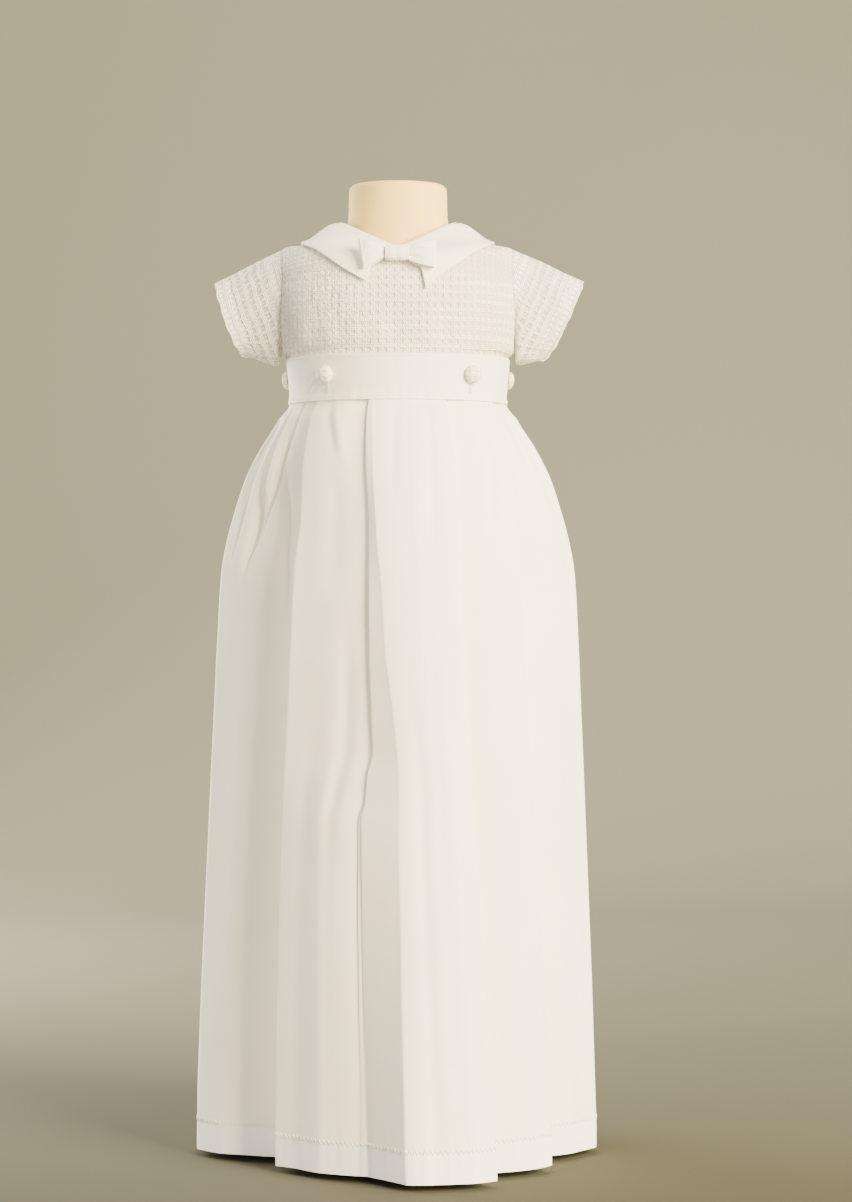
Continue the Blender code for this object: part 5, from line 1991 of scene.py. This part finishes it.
            away = np.linalg.norm(points[..., :2] - points[:, end : end + 1 or None, :2][:, :1], axis=-1)
            weight = (1 - ease(away, 0.002, 0.013)) * (away < 0.02)
            points[..., 0] = mix(points[..., 0], near, weight)
        points[:, 0, 1] += np.copysign(self.seam_trim, points[:, 1, 1] - points[:, 0, 1])
        points[:, -1, 1] += np.copysign(self.seam_trim, points[:, -2, 1] - points[:, -1, 1])
        across, up = walked(points[-1]), to_last_row(points)
        grid = Grid(points, np.stack([np.broadcast_to(across, up.shape), up], -1))
        out = grid.normals()
        middle = out[len(height) // 2, points.shape[1] // 2]
        if middle[1] * facing < 0:
            out = -out
        puckers = ripple(31 + facing, across, self.PUCKER_WAVES)[None, :]
        puckers = puckers * bump_curve(up, self.hem_depth * 0.75, self.puckers_width)
        wave = ripple(41 + facing, across, self.HEM_WAVES)[None, :]
        wave = wave * ease(self.wave_reach - up, 0.0, self.wave_reach)
        groove = bump_curve(up, self.hem_depth, self.groove_width)
        amount = puckers * self.puckers + wave * self.wave - groove * self.stitch_groove
        return Grid(points + out * amount[..., None], grid.cut), out

    @staticmethod
    def nose(before: np.ndarray, after: np.ndarray) -> np.ndarray:
        """The rounded nose of a fold, between two layers of cloth.

        Args:
            before: The columns that lead to the fold.
            after: The columns that lead away from it.

        Returns:
            Three more columns, bowed out past the two layers' ends.
        """
        first, last = before[:, -1], after[:, 0]
        away = unit(first - before[:, -3])
        middle, half = (first + last) / 2, (first - last) / 2
        radius = np.linalg.norm(half, axis=-1, keepdims=True)
        back = np.sum(away * half, -1, keepdims=True) / np.maximum(radius, 1e-9)
        radius = radius * (1 - np.clip(-back, 0, 1))
        bow = away * radius * 0.8
        turns = (0.8, math.pi / 2, 2.34)
        return np.stack([middle + half * math.cos(turn) + bow * math.sin(turn) for turn in turns], axis=1)

    def build(self, panel: Panel) -> bpy.types.Object:
        """Builds one panel, and sews its hem."""
        grid, out = self.surface(panel)
        piece = cloth(f"skirt_{panel.label}_cloth", grid, self.material, self.thickness)
        report(piece, Slot.PLAIN, f"skirt_{panel.label}")
        row = int(np.argmin(np.abs(grid.points[:, 0, 2] - self.hem_height - self.hem_depth)))
        run = StitchRun(grid.points[row] + out[row] * (self.thickness / 2), out[row])
        report(self.stitcher.sew(f"hem_stitches_{panel.label}", [run], self.HEM_STYLE), Slot.PLAIN)
        return piece


# ---------------------------------------------------------------- form and stand


class FormRing(NamedTuple):
    """One level ring of the dress form."""

    height: float
    half_width: float
    front_depth: float
    back_depth: float
    power: float


@dataclass
class DressForm:
    """The limbless torso and neck that wears the gown."""

    material: bpy.types.Material
    columns: int = 128
    rows: int = 150

    RINGS = (
        FormRing(0.4200, 0.0600, 0.0440, 0.0430, 2.0),
        FormRing(0.4230, 0.0660, 0.0500, 0.0490, 2.0),
        FormRing(0.4320, 0.0700, 0.0540, 0.0530, 2.0),
        FormRing(0.4900, 0.0720, 0.0570, 0.0550, 2.0),
        FormRing(0.5550, 0.0735, 0.0595, 0.0560, 2.0),
        FormRing(0.6000, 0.0770, 0.0610, 0.0570, 2.1),
        FormRing(0.6350, 0.0780, 0.0590, 0.0550, 2.2),
        FormRing(0.6480, 0.0770, 0.0520, 0.0505, 2.1),
        FormRing(0.6570, 0.0765, 0.0430, 0.0465, 1.8),
        FormRing(0.6645, 0.0735, 0.0370, 0.0420, 1.6),
        FormRing(0.6706, 0.0640, 0.0350, 0.0385, 1.5),
        FormRing(0.6758, 0.0490, 0.0345, 0.0360, 1.6),
        FormRing(0.6815, 0.0390, 0.0342, 0.0348, 1.9),
        FormRing(0.6920, 0.0366, 0.0340, 0.0343, 2.0),
        FormRing(0.7120, 0.0360, 0.0335, 0.0340, 2.0),
        FormRing(0.7150, 0.0335, 0.0310, 0.0315, 2.0),
    )

    def build(self) -> bpy.types.Object:
        """Builds the closed form."""
        place = np.linspace(0, len(self.RINGS) - 1, self.rows + 1)
        height, half_width, front, back, power = (column[:, None] for column in along(self.RINGS, place))
        angle = 2 * math.pi * np.arange(self.columns)[None, :] / self.columns
        s, c = np.sin(angle), np.cos(angle)
        x = half_width * signed_power(s, 2 / power)
        y = -np.where(c > 0, front, back) * signed_power(c, 2 / power)
        points = np.stack([x, y, height + 0 * x], -1)
        wide = np.zeros((self.rows + 1, self.columns + 1, 2))
        mesh = Grid(points, wide, closed=True).mesh("dress_form_jersey")
        solid = bmesh.new()
        solid.from_mesh(mesh)
        solid.verts.ensure_lookup_table()
        ends = [[solid.verts[row * self.columns + k] for k in range(self.columns)] for row in (0, self.rows)]
        for ring in ends:
            centre = solid.verts.new((0, 0, ring[0].co.z))
            for k in range(self.columns):
                solid.faces.new((ring[k], ring[(k + 1) % self.columns], centre))
        bmesh.ops.recalc_face_normals(solid, faces=solid.faces)
        for face in solid.faces:
            face.smooth = abs(face.normal.z) < 0.995
        solid.to_mesh(mesh)
        solid.free()
        piece = link("dress_form_jersey", mesh, self.material)
        return report(piece, Slot.JERSEY, "dress_form")


@dataclass
class Stand:
    """A round base with a hub, and a pole whose flange carries the dress form."""

    material: bpy.types.Material
    base_radius: float = 0.074
    base_thickness: float = 0.008
    hub_radius: float = 0.016
    hub_height: float = 0.012
    pole_radius: float = 0.008
    flange_radius: float = 0.024
    flange_thickness: float = 0.003
    form_bottom: float = 0.420
    edge: float = 0.002
    bevel: float = 0.0004
    weld: float = 0.001

    def corner(self, radius: float, height: float, start: float, bend: float) -> list[tuple[float, float]]:
        """A rounded corner of a profile, round a centre, from one angle to 90 degrees on."""
        angles = (math.radians(mix(start, start + bend, k / 5)) for k in range(6))
        return [(radius + self.edge * math.cos(a), height + self.edge * math.sin(a)) for a in angles]

    def build(self) -> None:
        """Builds the base and the pole."""
        edge, plate, top = self.edge, self.base_thickness, self.base_thickness + self.hub_height
        base = [(0.0, top)]
        base += self.corner(self.hub_radius - edge, top - edge, 90, -90)
        base += self.corner(self.hub_radius + edge, plate + edge, 180, 90)
        base += self.corner(self.base_radius - edge, plate - edge, 90, -90)
        base += [(self.base_radius, 0.0), (0.0, 0.0)]
        self.turn("painted_base", "stand_base", base, 128)
        foot, head = top + WALL_GAP, self.form_bottom - WALL_GAP
        under = head - self.flange_thickness
        wide, narrow, bevel, weld = self.flange_radius, self.pole_radius, self.bevel, self.weld
        pole = [(0.0, head), (wide - bevel, head), (wide, head - bevel), (wide, under + bevel)]
        pole += [(wide - bevel, under), (narrow + weld, under), (narrow, under - weld)]
        pole += [(narrow, foot), (0.0, foot)]
        self.turn("painted_pole", "stand_pole", pole, 64)

    def turn(self, name: str, node: str, profile: Sequence[tuple[float, float]], steps: int) -> None:
        """Turns a profile into a painted piece that stands for a solid."""
        report(link(name, turned(name, profile, steps), self.material), Slot.PAINT, node)


# ---------------------------------------------------------------- studio


class Lamp(NamedTuple):
    """A square soft light: where it stands and aims, its side, its power in watts and its colour."""

    name: str
    place: tuple
    aim: tuple
    size: float
    power: float
    colour: tuple = (1.0, 1.0, 1.0)


@dataclass
class Studio:
    """The floor and backdrop, the soft lights and the camera."""

    material: bpy.types.Material
    reach: float = 6.0
    wall: float = 3.1
    bend: float = 1.5
    bend_steps: int = 24
    camera_place: tuple = (0.0207, -2.1, 0.4083)
    lens: float = 85.0
    air_colour: tuple = (1.0, 0.965, 0.87, 1.0)
    air_strength: float = 0.68

    LAMPS = (
        Lamp("key", (1.85, -1.75, 1.15), (0.0, 0.0, 0.36), 1.6, 465.0, (1.0, 0.855, 0.56)),
        Lamp("fill", (-1.5, -2.1, 0.20), (0.0, 0.0, 0.02), 1.4, 50.0, (1.0, 0.94, 0.82)),
        Lamp("floor_wash", (-1.35, 0.95, 0.75), (-0.25, 0.25, 0.0), 1.0, 95.0, (1.0, 0.93, 0.80)),
        Lamp("backdrop_wash", (0.0, 0.9, 2.8), (0.0, 2.9, 0.7), 1.6, 55.0),
    )

    def paper(self) -> None:
        """A floor that curves up into a backdrop."""
        start = self.wall - self.bend
        turns = (math.pi / 2 * k / self.bend_steps for k in range(1, self.bend_steps + 1))
        profile = [(-self.reach, 0.0), (start, 0.0)]
        profile += [(start + self.bend * math.sin(a), self.bend - self.bend * math.cos(a)) for a in turns]
        profile.append((self.wall, self.reach))
        points = np.array([[(x, y, z) for x in (-self.reach, self.reach)] for y, z in profile])
        grid = Grid(points, points[..., :2])
        link("studio_paper", grid.mesh("studio_paper"), self.material)

    def light(self, lamp: Lamp) -> None:
        """Sets up one lamp."""
        data = bpy.data.lights.new(lamp.name, "AREA")
        data.shape = "SQUARE"
        data.size = lamp.size
        data.energy = lamp.power
        data.color = lamp.colour
        made = bpy.data.objects.new(lamp.name, data)
        made.location = lamp.place
        made.rotation_euler = (Vector(lamp.aim) - Vector(lamp.place)).to_track_quat("-Z", "Y").to_euler()
        bpy.context.scene.collection.objects.link(made)

    def build(self) -> None:
        """Sets up the studio."""
        self.paper()
        for lamp in self.LAMPS:
            self.light(lamp)
        world = bpy.data.worlds.new("studio_air")
        world.use_nodes = True
        air = world.node_tree.nodes["Background"]
        air.inputs[0].default_value = self.air_colour
        air.inputs[1].default_value = self.air_strength
        bpy.context.scene.world = world
        data = bpy.data.cameras.new("camera")
        data.lens = self.lens
        camera = bpy.data.objects.new("camera", data)
        camera.location = self.camera_place
        camera.rotation_euler = (math.pi / 2, 0.0, 0.0)
        bpy.context.scene.collection.objects.link(camera)
        bpy.context.scene.camera = camera


def main() -> None:
    """Builds every piece in order."""
    logging.basicConfig(level=logging.INFO, format="%(name)s %(message)s")
    plain = PlainCotton("plain_cotton_lawn").make()
    hemmed = PlainCotton("hemmed_cotton_lawn", hem=0.021).make()
    bodice_check = WovenCheck("checked_cotton", plain_before=-0.058).make()
    sleeve_check = WovenCheck(
        "checked_cotton_sleeve", across=0.0041, along=0.0070, half_width=0.31, half_height=0.24,
        clear=0.34, closed_below=0.011, closed_above=0.046, relief=0.0014, groove=0.1, crinkle=2.0,
        # A grey painted shade for the sleeve's gaps: the shade inside the sleeve.
        gap_shade=tint(200, 200, 184),
    ).make()
    button_check = WovenCheck(
        "checked_cotton_button", across=0.0040, along=0.0042, clear=0.0, relief=0.0009
    ).make()
    thread = SewingThread().make()
    stitcher = Stitcher(thread)
    DressForm(Jersey().make()).build()
    Stand(StandPaint().make()).build()
    bodice = Bodice(bodice_check)
    bodice.front()
    for side in Side:
        bodice.back(side)
    Sleeve(Side.LEFT, Cuff(-0.1345, 0.6435, -0.1110, 0.5895, 0.021), sleeve_check).build()
    Sleeve(Side.RIGHT, Cuff(0.1365, 0.6445, 0.1050, 0.5870, 0.022), sleeve_check).build()
    Collar(Side.LEFT, CollarEdge(1.5, 11.2, 3.64, 0.0020), plain).build()
    Collar(Side.RIGHT, CollarEdge(1.5, 10.4, 3.38, 0.0020), plain).build()
    bow = Bow(plain)
    for side in Side:
        bow.loop(side)
    bow.knot()
    band = Waistband(plain, stitcher)
    band.build()
    band.stitches()
    band.buttons(button_check)
    BackButtons(button_check).build()
    skirt = Skirt(hemmed, stitcher)
    for panel in Panel:
        skirt.build(panel)
    Studio(StudioPaper().make()).build()
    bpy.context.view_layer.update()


if __name__ == "__main__":
    main()
